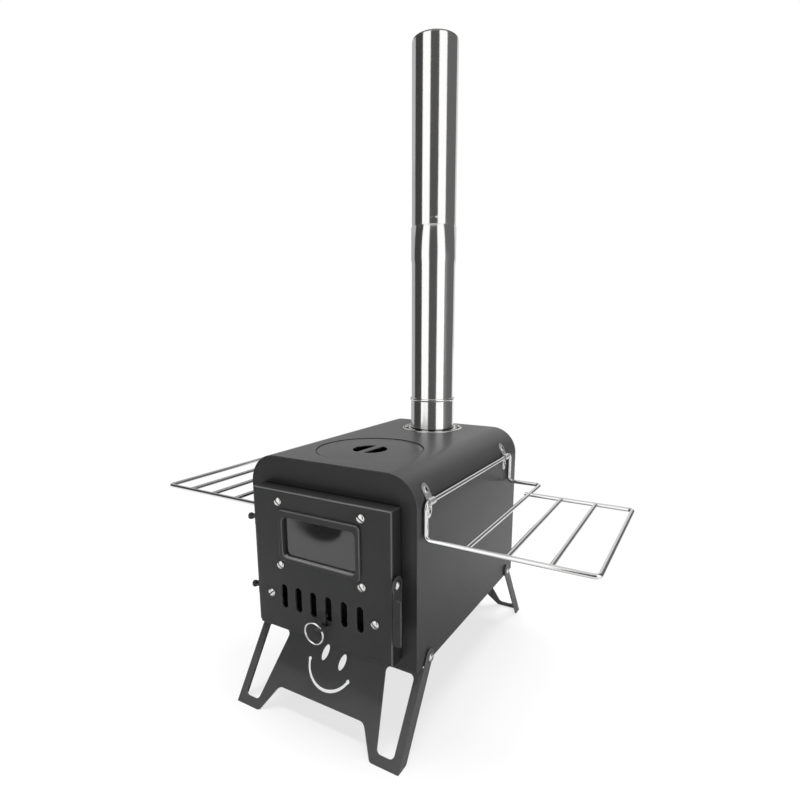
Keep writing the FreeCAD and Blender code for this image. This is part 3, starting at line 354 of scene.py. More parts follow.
# Flue: socket, lower pipe and upper pipe
# Bright annealed stainless tube of 0.7 mm, polished to a mirror that is drawn out along the pipe.
# The socket is flanged and screwed to the top, the lower pipe is opened to a bell that takes the
# upper one, and the free rims are rolled.
stainless, tree, place = blank("polished_stainless_tube")
# The polishing lines are too fine to show, so they are drawn 0.9 mm wide and 60 mm long.
lay = add(tree, "ShaderNodeMapping", None, {
    "Vector": place, "Scale": (1 / (0.9 * MM), 1 / (0.9 * MM), 1 / (60 * MM))})
lines = add(tree, "ShaderNodeTexNoise", None, {
    "Vector": lay.outputs[0], "Scale": 1.0, "Detail": 3.0, "Roughness": 0.6})
# Rolling leaves the wall faintly wavy, every 16 mm round the pipe and 140 mm along it.
roll = add(tree, "ShaderNodeMapping", None, {
    "Vector": place, "Scale": (1 / (16 * MM), 1 / (16 * MM), 1 / (140 * MM))})
waves = add(tree, "ShaderNodeTexNoise", None, {
    "Vector": roll.outputs[0], "Scale": 1.0, "Detail": 1.0})
gloss = add(tree, "ShaderNodeMapRange", None, {
    "Value": lines.outputs["Fac"], "To Min": 0.07, "To Max": 0.17})
bump = add(tree, "ShaderNodeBump", None, {
    "Height": waves.outputs["Fac"], "Strength": 0.25, "Distance": 0.25 * MM})
# The upper pipe's rim is rolled after polishing, which leaves its last 2 mm dull; they are also
# painted darker, as a painted dark reflection.
RIM_Z, RIM_FADE, RIM_ROUGHNESS = 790.4, 0.5, 0.45
high = add(tree, "ShaderNodeSeparateXYZ", None, {0: place})
rim = add(tree, "ShaderNodeMapRange", None, {
    "Value": high.outputs["Z"], "From Min": RIM_Z * MM, "From Max": (RIM_Z + RIM_FADE) * MM})
# Painted dark reflection: the rim's colour is mixed toward a darker grey.
tone = add(tree, "ShaderNodeMix", {"data_type": "RGBA"}, {
    0: rim.outputs[0], 6: linear("#e0dfde"), 7: linear("#7d7c7a")})
# Painted shade: the two grooves round the socket's foot are painted near black.
dirt = add(tree, "ShaderNodeAttribute", {"attribute_name": "dirt"})
tone = add(tree, "ShaderNodeMix", {"data_type": "RGBA"}, {
    0: dirt.outputs["Fac"], 6: tone.outputs[2], 7: linear("#1b1a19")})
dull = add(tree, "ShaderNodeMath", {"operation": "MULTIPLY"}, {
    0: rim.outputs[0], 1: RIM_ROUGHNESS})
gloss = add(tree, "ShaderNodeMath", {"operation": "MAXIMUM"}, {
    0: gloss.outputs[0], 1: dull.outputs[0]})
metal = add(tree, "ShaderNodeBsdfPrincipled", None, {
    "Base Color": tone.outputs[2], "Metallic": 1.0, "Roughness": gloss.outputs[0],
    "Normal": bump.outputs[0]})
add(tree, "ShaderNodeOutputMaterial", None, {"Surface": metal.outputs[0]})

# A closed section is swept round the flue's axis. The section is drawn about the pipe's wall.
PIPE, BORE, BELL, BELL_BORE = 29.5, 28.8, 30.3, 29.6
tree, given = new_tree("turned_sheet", Ring_Radius="Float", Sides="Int")
section = add(tree, "GeometryNodeMeshToCurve", None, {"Mesh": given["Geometry"]})
ring = add(tree, "GeometryNodeCurvePrimitiveCircle", None, {
    "Resolution": given["Sides"], "Radius": given["Ring Radius"]})
swept = add(tree, "GeometryNodeCurveToMesh", None, {
    "Curve": ring.outputs["Curve"], "Profile Curve": section.outputs[0]})
moved = add(tree, "GeometryNodeTransform", None, {
    "Geometry": swept.outputs[0], "Translation": (0, FLUE_Y * MM, 0)})
end_tree(tree, moved.outputs[0], stainless, True)


def rolled_rim(inner, outer, high, bead, drop, soft=0.2, steps=6):
    """(radius, height) points up the bead of a rim rolled outward, over its top and down inside."""
    points = [(outer, high - drop)]
    for i in range(steps + 1):
        angle = math.radians(-90 + 180 * i / steps)
        points.append((
            outer + bead * math.cos(angle), high - drop / 2 + (drop / 2) * math.sin(angle)))
    points += [(outer - soft / 2, high), (inner + soft, high), (inner, high - soft)]
    return points


def mark_faces(mesh, label, amount):
    """Gives each face an amount of a named painted mark (painted shade, painted highlight), from
    its middle in millimetres and its normal.
    """
    mark = mesh.attributes.new(label, "FLOAT", "FACE")
    for face in mesh.polygons:
        mark.data[face.index].value = float(amount(face.center / MM, face.normal))


def turned(name, outline, body, node, dimple=None):
    """A turned piece. The dimple is the (angle in degrees, height) of a stop pressed outward."""
    section = line_mesh(name, [(r - PIPE, -z, 0) for r, z in outline], True)
    piece = grown(name, tree, section, Ring_Radius=PIPE * MM, Sides=160)
    if dimple:
        turn, height = math.radians(dimple[0]), dimple[1]
        for vertex in piece.data.vertices:
            x, y, z = vertex.co.x / MM, vertex.co.y / MM - FLUE_Y, vertex.co.z / MM
            aside = x * math.cos(turn) + y * math.sin(turn)
            facing = x * math.sin(turn) - y * math.cos(turn)
            if facing > 0:
                over = (z - height) / DIMPLE_HALF * DIMPLE_SQUASH
                push = DIMPLE_DEPTH * math.exp(-(aside / DIMPLE_HALF) ** 2 - over ** 2)
                vertex.co += Vector((x, y, 0)).normalized() * push * MM
    outward(piece.data, 40)
    settle(piece, body, "stainless", node)
    return piece


SOCKET_RISE, SOCKET_BEAD, BEAD_HEIGHT, LIP_BORE = 44, 1.15, 4.0, 27.0
# (radius, height over the top): the socket's foot, then two pressed beads with a groove between.
flange = [
    (BELL, 1.8), (BELL + 0.1, 1.2), (BELL + 0.3, 0.75), (31.2, 0.6), (32.0, 0.7), (33.0, 0.95),
    (34.5, 0.95), (35.6, 0.8), (36.2, 0.6), (38.2, 0.6), (38.9, 0.8), (39.8, 0.95), (41.2, 0.9),
    (42.0, 0.6), (42.3, 0.2), (42.3, 0)]
socket_outline = [(r, BODY_TOP + z) for r, z in flange]
socket_outline += [
    (BELL, BODY_TOP), (BELL, BODY_TOP - SHEET), (LIP_BORE, BODY_TOP - SHEET),
    (LIP_BORE, BODY_TOP), (BELL_BORE, BODY_TOP)]
socket_rim = rolled_rim(BELL_BORE, BELL, BODY_TOP + SOCKET_RISE, SOCKET_BEAD, BEAD_HEIGHT)
socket_outline += reversed(socket_rim)
socket = turned("flue_socket", socket_outline, "firebox", "chimney_socket")
FOOT_GROOVE, FOOT_TOP, MIDDLE_GROOVE, MIDDLE_TOP = (30.2, 31.7), 1.7, (35.7, 38.7), 0.75


def in_shaded_groove(at, way):
    """True in the groove round the socket's foot and in the one between the beads."""
    radius, height = math.hypot(at.x, at.y - FLUE_Y), at.z - BODY_TOP
    foot = FOOT_GROOVE[0] < radius < FOOT_GROOVE[1] and 0 < height < FOOT_TOP
    middle = MIDDLE_GROOVE[0] < radius < MIDDLE_GROOVE[1] and 0 < height < MIDDLE_TOP
    return foot or middle


mark_faces(socket.data, "dirt", in_shaded_groove)

SEAT_GAP, LOWER_RISE, BELL_LENGTH, TAPER, TAPER_END, SOFT, EDGE = 0.1, 272, 41, 7, 1.5, 0.2, 0.25
LOWER_BASE, LOWER_TOP = BODY_TOP + SEAT_GAP, BODY_TOP + LOWER_RISE
BELL_BASE = LOWER_TOP - BELL_LENGTH


def belled(narrow, wide):
    """(radius, height) points up one side of the lower pipe's wall, from its foot to its rim."""
    return [
        (narrow, LOWER_BASE), (narrow, BELL_BASE - TAPER),
        (narrow + SOFT, BELL_BASE - TAPER + TAPER_END), (wide - SOFT, BELL_BASE - TAPER_END),
        (wide, BELL_BASE), (wide, LOWER_TOP - EDGE)]


inner = belled(BORE, BELL_BORE)
lower = inner[:1] + belled(PIPE, BELL)
lower += [(BELL - SOFT, LOWER_TOP), (BELL_BORE + SOFT, LOWER_TOP)] + inner[:0:-1]
turned("lower_flue_pipe", lower, "lower_flue", "lower_pipe")

UPPER_RISE, RIM_IN, RIM_DROP, RIM_STEPS = 262.99, 1.3, 3.2, 8
UPPER_BASE = BELL_BASE + SEAT_GAP
UPPER_TOP = UPPER_BASE + UPPER_RISE
DIMPLE_Z, DIMPLE_DEPTH, DIMPLE_HALF, DIMPLE_SQUASH, DIMPLE_TURN = 578.5, 0.45, 2.2, 1.6, 27
DIMPLE_STEP, DIMPLE_ROWS = 0.5, 7
near_dimple = [DIMPLE_STEP * i for i in range(-DIMPLE_ROWS, DIMPLE_ROWS + 1)]
upper = [(BORE, UPPER_BASE), (PIPE, UPPER_BASE)]
upper += [(PIPE, DIMPLE_Z + step) for step in near_dimple]
for i in range(RIM_STEPS + 1):
    a = math.radians(90 * i / RIM_STEPS)
    upper.append((
        PIPE - RIM_IN + RIM_IN * math.cos(a), UPPER_TOP - RIM_DROP + RIM_DROP * math.sin(a)))
# (radius, depth under the rim's top): the turned edge and the way back to the bore.
rim_back = [(PIPE - 1.9, 0.2), (PIPE - 1.9, 0.6), (BORE - 0.5, 1.8), (BORE, 4)]
upper += [(r, UPPER_TOP - depth) for r, depth in rim_back]
upper += [(BORE, DIMPLE_Z - step) for step in near_dimple]
turned("upper_flue_pipe", upper, "upper_flue", "upper_pipe", (DIMPLE_TURN, DIMPLE_Z))

# Screws and nuts
# Zinc-plated machine screws of 4 mm with a domed pan head and one driver slot, and plain hexagon
# nuts. Plating is bright and slightly brushed; the slot is painted dark as painted shade.
zinc, tree, place = blank("bright_zinc_plate")
fine = add(tree, "ShaderNodeTexNoise", None, {
    "Vector": place, "Scale": 1 / (1.1 * MM), "Detail": 3.0})
gloss = add(tree, "ShaderNodeMapRange", None, {
    "Value": fine.outputs["Fac"], "To Min": 0.16, "To Max": 0.34})
tone = add(tree, "ShaderNodeMix", {"data_type": "RGBA"}, {
    0: fine.outputs["Fac"], 6: linear("#c9c9c7"), 7: linear("#ededea")})
# Painted shade: marked faces, in screw slots and rivet bores, are painted near black.
dirt = add(tree, "ShaderNodeAttribute", {"attribute_name": "dirt"})
tone = add(tree, "ShaderNodeMix", {"data_type": "RGBA"}, {
    0: dirt.outputs["Fac"], 6: tone.outputs[2], 7: linear("#131211")})
metal = add(tree, "ShaderNodeBsdfPrincipled", None, {
    "Base Color": tone.outputs[2], "Metallic": 1.0, "Roughness": gloss.outputs[0]})
add(tree, "ShaderNodeOutputMaterial", None, {"Surface": metal.outputs[0]})


def lathed(name, outline, sides=40):
    """A solid turned about Z from (radius, height) points in millimetres, its ends on the axis."""
    work = bmesh.new()
    angles = [2 * math.pi * i / sides for i in range(sides)]
    rows = []
    for radius, height in outline:
        if radius == 0:
            rows.append([work.verts.new((0, 0, height * MM))])
            continue
        r, z = radius * MM, height * MM
        rows.append([work.verts.new((r * math.cos(a), r * math.sin(a), z)) for a in angles])
    for low, high in zip(rows, rows[1:]):
        for i in range(sides):
            j = (i + 1) % sides
            ring = [low[i % len(low)], low[j % len(low)], high[j % len(high)], high[i % len(high)]]
            work.faces.new(list(dict.fromkeys(ring)))
    bmesh.ops.recalc_face_normals(work, faces=work.faces)
    mesh = bpy.data.meshes.new(name)
    work.to_mesh(mesh)
    work.free()
    return mesh


def cut_with(mesh, tool):
    """The mesh less the tool mesh, by an exact cut."""
    body = bpy.data.objects.new("cut_body", mesh)
    knife = bpy.data.objects.new("cut_tool", tool)
    for item in (body, knife):
        bpy.context.scene.collection.objects.link(item)
    cut = body.modifiers.new("cut", "BOOLEAN")
    cut.object = knife
    cut.solver = "EXACT"
    depsgraph = bpy.context.evaluated_depsgraph_get()
    result = bpy.data.meshes.new_from_object(body.evaluated_get(depsgraph))
    bpy.data.objects.remove(body)
    bpy.data.objects.remove(knife)
    return result


# Shares of a head's radius and height: how wide its dome is, and where dome and wall meet.
DOME_WIDE, DOME_FROM, WALL_TO = 0.98, 0.35, 0.3
RIM_EDGE, POINT_EDGE, SLOT_UNDER, SLOT_BESIDE, SQUARE = 0.15, 0.3, 0.1, 0.02, 0.98


def slotted_screw(name, head, height, shank, length, slot=1.3, depth=1.1, steps=6):
    """Domed pan head above zero with a driver slot along X, and its shank below."""
    outline = [(0, height)]
    for i in range(1, steps + 1):
        angle = math.radians(90 * i / steps)
        rise = DOME_FROM + (1 - DOME_FROM) * math.cos(angle)
        outline.append((head * math.sin(angle) * DOME_WIDE, height * rise))
    outline += [
        (head, height * WALL_TO), (head, RIM_EDGE), (head - RIM_EDGE, 0), (shank, 0),
        (shank, -length + POINT_EDGE), (shank - POINT_EDGE, -length), (0, -length)]
    over = 1
    lift = Matrix.Translation((0, 0, (height + over - depth / 2) * MM))
    size = Matrix.Diagonal((head * 3 * MM, slot * MM, (2 * over + depth) * MM, 1))
    bar = bmesh.new()
    bmesh.ops.create_cube(bar, size=1, matrix=lift @ size)
    tool = bpy.data.meshes.new("slot_bar")
    bar.to_mesh(tool)
    bar.free()
    mesh = cut_with(lathed(name, outline), tool)
    outward(mesh, 35)

    def in_shaded_slot(at, way):
        """True on the slot's floor and on its two sides."""
        deep = height - depth - SLOT_UNDER < at.z < height and abs(at.y) < slot / 2 + SLOT_BESIDE
        return deep and (way.z > SQUARE or abs(way.y) > SQUARE)

    mark_faces(mesh, "dirt", in_shaded_slot)
    return mesh


def hex_nut(name, corner, bore, height):
    """A plain hexagon nut that stands on zero, with its bore."""
    work = bmesh.new()
    bmesh.ops.create_cone(
        work, cap_ends=True, segments=6, radius1=corner * MM, radius2=corner * MM,
        depth=height * MM, matrix=Matrix.Translation((0, 0, height / 2 * MM)))
    body = bpy.data.meshes.new(name)
    work.to_mesh(body)
    work.free()
    over = 2
    mesh = cut_with(body, pin_mesh("nut_bore", [((0, 0, -over), (0, 0, height + over), bore)], 24))
    outward(mesh, 25)
    return mesh


tree, given = new_tree("copies_at_points", Piece="Object", Finish="Material")
piece_info = add(tree, "GeometryNodeObjectInfo", None, {"Object": given["Piece"]})
facing = add(tree, "GeometryNodeInputNamedAttribute", {"data_type": "FLOAT_VECTOR"}, {
    "Name": "facing"})
turn = add(tree, "FunctionNodeEulerToRotation", None, {0: facing.outputs["Attribute"]})
copies = add(tree, "GeometryNodeInstanceOnPoints", None, {
    "Points": given["Geometry"], "Instance": piece_info.outputs["Geometry"],
    "Rotation": turn.outputs[0]})
real = add(tree, "GeometryNodeRealizeInstances", None, {"Geometry": copies.outputs[0]})
coated = add(tree, "GeometryNodeSetMaterial", None, {
    "Geometry": real.outputs[0], "Material": given["Finish"]})
add(tree, "NodeGroupOutput", None, {0: coated.outputs[0]})
copies_at_points = tree


def copies_of(name, mesh, places, material, edge_mm=0.0):
    """Copies of one small mesh at (point, direction, turn in degrees) places, as one piece."""
    points = bpy.data.meshes.new(name)
    points.from_pydata([Vector(p) * MM for p, way, spin in places], [], [])
    facing = points.attributes.new("facing", "FLOAT_VECTOR", "POINT")
    for i, (p, way, spin) in enumerate(places):
        turn = Vector(way).to_track_quat("Z", "Y") @ Quaternion((0, 0, 1), math.radians(spin))
        facing.data[i].vector = turn.to_euler()
    one = bpy.data.objects.new(name + "_one", mesh)
    piece = grown(name, copies_at_points, points, Piece=one, Finish=material)
    bpy.data.objects.remove(one)
    if edge_mm:
        deburr(piece, edge_mm, angle_deg=50)
    return piece


RIGHT, FRONT, BACK, UP = (1, 0, 0), (0, -1, 0), (0, 1, 0), (0, 0, 1)
SCREW_CIRCLE, SCREW_ANGLES, SHANK, NUT_HEIGHT, NUT_EDGE = 37.2, (30, 210), 1.9, 3.2, 0.2
collar_places = []
for angle in SCREW_ANGLES:
    x = SCREW_CIRCLE * math.cos(math.radians(angle))
    y = SCREW_CIRCLE * math.sin(math.radians(angle))
    collar_places.append((x, FLUE_Y + y))
collar_screw = slotted_screw("collar_screw", head=3.9, height=2.4, shank=SHANK, length=6.6)
screws = copies_of("collar_screw_pair", collar_screw, [
    ((x, y, BODY_TOP + SHEET), UP, 35) for x, y in collar_places], zinc)
settle(screws, "firebox", "screw_steel", "collar_screws")
nut = hex_nut("small_nut", corner=4.0, bore=2.05, height=NUT_HEIGHT)
nuts = copies_of("collar_nut_pair", nut, [
    ((x, y, BODY_TOP - SHEET - NUT_HEIGHT), UP, 10) for x, y in collar_places], zinc, NUT_EDGE)
settle(nuts, "firebox", "screw_steel", "collar_nuts")

# Door
# A pan pressed from 1.2 mm sheet with soft bends, its window frame pressed proud of it and turned
# back to the glass, six upright air slots punched below. Painted as the firebox is.
DOOR_FACE, DOOR_BEND, WINDOW_Z, WINDOW_HALF, WINDOW_LOW = -164.5, 2.2, 213.4, 48.5, 190.4
SILL_REACH, TOP_FROM, SIDE_FROM = 2, WINDOW_Z + 30, 80
# How much of a face's normal has to point up, forward or to the latch side.
LEVEL, SLOPING, UPPER, BEND_FROM, BEND_TO, STRAIGHT = 0.8, 0.3, 0.1, 0.45, 0.93, 0.9
# Amounts of painted highlight on the sill and bends, and of painted shade on the door's top and
# latch side.
SILL_HIGHLIGHT, SILL_EDGE_HIGHLIGHT, BEND_HIGHLIGHT, TOP_SHADE, SIDE_SHADE = 0.6, 0.2, 0.12, 0.6, 0.55


def highlighted_bends(at, way):
    """Painted highlight: paler paint along the pressed bends, and most on the sill under the glass,
    where light catches them.
    """
    under_glass = abs(at.x) < WINDOW_HALF and abs(at.z - WINDOW_LOW) < SILL_REACH
    if under_glass and way.z > SLOPING and at.y < DOOR_FACE + SILL_REACH:
        return SILL_HIGHLIGHT if way.z > LEVEL else SILL_EDGE_HIGHLIGHT
    bend = BEND_FROM < -way.y < BEND_TO and at.y < DOOR_FACE + DOOR_BEND
    return BEND_HIGHLIGHT if bend and (way.z > UPPER or way.x > SLOPING) else 0


def shaded_door_sides(at, way):
    """Painted shade: darkens the door's top and its latch side, behind the bend, where little light
    falls on them.
    """
    if at.y <= DOOR_FACE + DOOR_BEND:
        return 0
    if way.z > STRAIGHT and at.z > TOP_FROM:
        return TOP_SHADE
    return SIDE_SHADE if way.x > STRAIGHT and at.x > SIDE_FROM else 0


door = from_frame("pressed_door_pan", "door_pan", stove_paint, edge_mm=0.25)
mark_faces(door.data, "highlight_marks", highlighted_bends)
mark_faces(door.data, "painted_shade_marks", shaded_door_sides)

# Window
# A pane of smoked ceramic glass 3 mm thick, bedded on a woven glass-fibre gasket and held by a
# painted clamp frame with four screws through the door and a nut on each. The smoked pane looks
# nearly black and mirrors sharply.
smoked_glass, tree, place = blank("smoked_ceramic_glass")
film = add(tree, "ShaderNodeTexNoise", None, {
    "Vector": place, "Scale": 1 / (30 * MM), "Detail": 2.0})
gloss = add(tree, "ShaderNodeMapRange", None, {
    "Value": film.outputs["Fac"], "To Min": 0.02, "To Max": 0.07})
pane = add(tree, "ShaderNodeBsdfPrincipled", None, {
    "Base Color": linear("#38383a"), "Roughness": gloss.outputs[0], "IOR": 1.54,
    "Specular IOR Level": 0.95, "Transmission Weight": 0.3})
add(tree, "ShaderNodeOutputMaterial", None, {"Surface": pane.outputs[0]})
from_frame("window_pane", "window_glass", smoked_glass, edge_mm=0.3)

gasket, tree, place = blank("woven_glass_fibre")
# The tape is matt and shows its threads, 0.8 mm apart. A wave texture has 20 bands to a unit.
bands = 1 / (0.8 * MM) / 20
warp = add(tree, "ShaderNodeTexWave", {"bands_direction": "X"}, {"Vector": place, "Scale": bands})
weft = add(tree, "ShaderNodeTexWave", {"bands_direction": "Z"}, {"Vector": place, "Scale": bands})
weave = add(tree, "ShaderNodeMath", {"operation": "MULTIPLY"}, {
    0: warp.outputs["Fac"], 1: weft.outputs["Fac"]})
tone = add(tree, "ShaderNodeMix", {"data_type": "RGBA"}, {
    0: weave.outputs[0], 6: linear("#5d5a55"), 7: linear("#a8a59d")})
bump = add(tree, "ShaderNodeBump", None, {
    "Height": weave.outputs[0], "Strength": 0.5, "Distance": 0.3 * MM})
cloth = add(tree, "ShaderNodeBsdfPrincipled", None, {
    "Base Color": tone.outputs[2], "Roughness": 0.9, "Normal": bump.outputs[0]})
add(tree, "ShaderNodeOutputMaterial", None, {"Surface": cloth.outputs[0]})
from_frame("window_gasket", "glass_gasket", gasket, edge_mm=0.0)
from_frame("window_clamp_frame", "glass_clamp", stove_paint, edge_mm=0.2)

SCREW_X, SCREW_LOW, SCREW_HIGH, CLAMP_BACK = 55, WINDOW_Z - 35.2, WINDOW_Z + 39.1, -158.3
SPINS = (-38, -42, 125, -35)
window_corners = [(x, z) for x in (-SCREW_X, SCREW_X) for z in (SCREW_LOW, SCREW_HIGH)]
long_screw = slotted_screw("window_screw", head=4.9, height=2.4, shank=SHANK, length=10.5)
screws = copies_of("window_screw_set", long_screw, [
    ((x, DOOR_FACE, z), FRONT, spin) for (x, z), spin in zip(window_corners, SPINS)], zinc)
settle(screws, "door", "screw_steel", "window_screws")
nuts = copies_of("window_nut_set", nut, [
    ((x, CLAMP_BACK, z), BACK, 12) for x, z in window_corners], zinc, NUT_EDGE)
settle(nuts, "door", "screw_steel", "window_nuts")

# Damper slide
# A slotted strip behind the air slots, which a tongue bent out through one slot moves sideways.
# Two screws in level slots carry it. A wire ring hangs in the tongue's hole as the pull.
from_frame("slotted_damper", "damper_slide", stove_paint, edge_mm=0.2)
SLOT_Z, DAMPER_X, DAMPER_BACK = 140.7, 70.5, -161.5
short_screw = slotted_screw("damper_screw", head=4.9, height=2.4, shank=SHANK, length=7.5)
screws = copies_of("damper_screw_pair", short_screw, [
    ((-DAMPER_X, DOOR_FACE, SLOT_Z), FRONT, 40), ((DAMPER_X, DOOR_FACE, SLOT_Z), FRONT, -40)], zinc)
settle(screws, "door", "screw_steel", "damper_screws")
nuts = copies_of("damper_nut_pair", nut, [
    ((x, DAMPER_BACK, SLOT_Z), BACK, 20) for x in (-DAMPER_X, DAMPER_X)], zinc, NUT_EDGE)
settle(nuts, "door", "screw_steel", "damper_nuts")

# Bright wire
# Mild steel wire with a nickel-chrome plate, smooth and mirror bright, here and there a little
# cloudy where hands touch it.
bright_wire, tree, place = blank("chrome_plated_wire")
touch = add(tree, "ShaderNodeTexNoise", None, {
    "Vector": place, "Scale": 1 / (22 * MM), "Detail": 3.0})
gloss = add(tree, "ShaderNodeMapRange", None, {
    "Value": touch.outputs["Fac"], "To Min": 0.05, "To Max": 0.16})
tone = add(tree, "ShaderNodeMix", {"data_type": "RGBA"}, {
    0: touch.outputs["Fac"], 6: linear("#dadada"), 7: linear("#ececeb")})
metal = add(tree, "ShaderNodeBsdfPrincipled", None, {
    "Base Color": tone.outputs[2], "Metallic": 1.0, "Roughness": gloss.outputs[0]})
add(tree, "ShaderNodeOutputMaterial", None, {"Surface": metal.outputs[0]})

tree, given = new_tree("bent_wire", Wire_Radius="Float", Bend_Radius="Float")
path = add(tree, "GeometryNodeMeshToCurve", None, {"Mesh": given["Geometry"]})
bent = add(tree, "GeometryNodeFilletCurve", {"mode": "POLY"}, {
    "Curve": path.outputs[0], "Count": 9, "Radius": given["Bend Radius"]})
section = add(tree, "GeometryNodeCurvePrimitiveCircle", None, {
    "Resolution": 20, "Radius": given["Wire Radius"]})
rod = add(tree, "GeometryNodeCurveToMesh", None, {
    "Curve": bent.outputs[0], "Profile Curve": section.outputs["Curve"], "Fill Caps": True})
end_tree(tree, rod.outputs[0], bright_wire, True)
bent_wire = tree

# The ring hangs down and to the left from its hole in the tongue.
HOLE_X, HOLE_Y, HOLE_Z = 4.9, -172.5, 121.25
PULL, PULL_WIRE, PULL_STEPS, HANG = 12.25, 1.25, 72, math.radians(45.6)
pull_x, pull_z = HOLE_X - PULL * math.cos(HANG), HOLE_Z - PULL * math.sin(HANG)
circle = []
for i in range(PULL_STEPS):
    a = 2 * math.pi * i / PULL_STEPS
    circle.append((pull_x + PULL * math.cos(a), HOLE_Y, pull_z + PULL * math.sin(a)))
pull = grown(
    "wire_pull_ring", bent_wire, line_mesh("pull_ring_line", circle, True),
    Wire_Radius=PULL_WIRE * MM, Bend_Radius=0.0)
outward(pull.data, 60)
settle(pull, "ring", "wire_chrome", "pull_ring")

# Hinges
# Each hinge is a painted angle bracket on the front panel, a bent lug on the door's side and a
# headed pin with a ball top, which the door lifts over.
for node in ("door_lugs", "hinge_brackets", "hinge_pins"):
    from_frame("painted_" + node, node, stove_paint, edge_mm=0.2)

# Latch
# A flat lever hangs on the door's right side, its grip bent outward along the front edge. Its
# spindle turns a hook behind the keeper, a bent strip on the front panel.
from_frame("bent_latch_lever", "latch_lever", stove_paint, edge_mm=0.25)
from_frame("bent_latch_keeper", "latch_keeper", stove_paint, edge_mm=0.2)
from_frame("turned_latch_spindle", "latch_spindle", mill_steel, edge_mm=0.15)
from_frame("latch_hook", "latch_cam", mill_steel, edge_mm=0.15)
LATCH_PIVOT = (94.7, -159.5, 188.1)
pivot = slotted_screw("latch_pivot", head=4.9, height=2.4, shank=1.15, length=9.0)
pivot = copies_of("latch_pivot_screw", pivot, [(LATCH_PIVOT, RIGHT, 55)], zinc)
settle(pivot, "latch", "screw_steel", "latch_screw")

# Legs
# Each leg plate is 1.5 mm sheet folded to a shallow channel, with two slanted windows, a notch
# between its feet and an ear on each side for its bolt. The front one has a plain smiling face
# punched through it. The paint is the same, in a paler tone and a little rougher.
leg_paint = sprayed_paint("thin_heat_paint", "#4c4c4d", "#575758", "#e0e0e0", 0.38)
from_frame("front_folding_leg", "front_leg_plate", leg_paint, edge_mm=0.35)
from_frame("rear_folding_leg", "rear_leg_plate", leg_paint, edge_mm=0.35)
LEG_OUT, NUT_SEAT, WASHER, WASHER_EDGE, WASHER_BORE = 112.58, 107.6, 0.8, 4.5, 2.08
leg_screw = slotted_screw("leg_bolt", head=4.5, height=2.8, shank=SHANK, length=8.4)
for node, y in (("front_leg_bolts", -BOLT_Y), ("rear_leg_bolts", BOLT_Y)):
    bolts = copies_of(node + "_pair", leg_screw, [
        ((side * LEG_OUT, y, BOLT_Z), (side, 0, 0), 60) for side in (-1, 1)], zinc)
    settle(bolts, "firebox", "screw_steel", node)
corners = [(side, y) for side in (-1, 1) for y in (-BOLT_Y, BOLT_Y)]
washer = cut_with(
    pin_mesh("leg_washer", [((0, 0, 0), (0, 0, WASHER), WASHER_EDGE)], sides=40),
    pin_mesh("washer_bore", [((0, 0, -2), (0, 0, 3), WASHER_BORE)], sides=24))
outward(washer, 30)
washers = copies_of("leg_washer_set", washer, [
    ((side * BODY_HALF, y, BOLT_Z), (side, 0, 0), 0) for side, y in corners], zinc)
settle(washers, "firebox", "screw_steel", "leg_washers")
nuts = copies_of("leg_nut_set", nut, [
    ((side * NUT_SEAT, y, BOLT_Z), (-side, 0, 0), 15) for side, y in corners], zinc, NUT_EDGE)
settle(nuts, "firebox", "screw_steel", "leg_nuts")

# Side shelves
# Each shelf is one 5 mm wire bent into rails, arms and a hinge bar, with two more wires welded
# across. It turns in two clips and swings over the top for carrying.
WIRE, WIRE_BEND, WELD, BAR_X, BAR_Z, RACK_Z = 2.5, 5.5, 1, 112.8, 268.5, 231.0
SHELF_FRONT, SHELF_REAR, RAIL_Y, FIRST_X, PITCH, END_X = -134.5, 113.0, 64.5, 156.5, 40.5, 278.58

tree, given = new_tree(
    "cross_wires", Count="Int", Pitch="Vector", Start="Vector", Length="Float", Wire_Radius="Float")
row = add(tree, "GeometryNodeMeshLine", {"mode": "OFFSET"}, {
    "Count": given["Count"], "Start Location": given["Start"], "Offset": given["Pitch"]})
reach = add(tree, "ShaderNodeCombineXYZ", None, {"Y": given["Length"]})
stick = add(tree, "GeometryNodeCurvePrimitiveLine", None, {"End": reach.outputs[0]})
section = add(tree, "GeometryNodeCurvePrimitiveCircle", None, {
    "Resolution": 20, "Radius": given["Wire Radius"]})
rod = add(tree, "GeometryNodeCurveToMesh", None, {
    "Curve": stick.outputs[0], "Profile Curve": section.outputs["Curve"], "Fill Caps": True})
rods = add(tree, "GeometryNodeInstanceOnPoints", None, {
    "Points": row.outputs[0], "Instance": rod.outputs[0]})
end_tree(tree, rods.outputs[0], bright_wire, True)
cross_wires = tree

# The clips are steel strip, nickel plated after tumbling, which leaves them bright but satin.
satin_strip, tree, place = blank("satin_nickel_strip")
fine = add(tree, "ShaderNodeTexNoise", None, {
    "Vector": place, "Scale": 1 / (3 * MM), "Detail": 4.0, "Roughness": 0.6})
gloss = add(tree, "ShaderNodeMapRange", None, {
    "Value": fine.outputs["Fac"], "To Min": 0.24, "To Max": 0.5})
bump = add(tree, "ShaderNodeBump", None, {
    "Height": fine.outputs["Fac"], "Strength": 0.3, "Distance": 0.25 * MM})
metal = add(tree, "ShaderNodeBsdfPrincipled", None, {
    "Base Color": linear("#f0f0ef"), "Metallic": 1.0, "Roughness": gloss.outputs[0],
    "Normal": bump.outputs[0]})
add(tree, "ShaderNodeOutputMaterial", None, {"Surface": metal.outputs[0]})

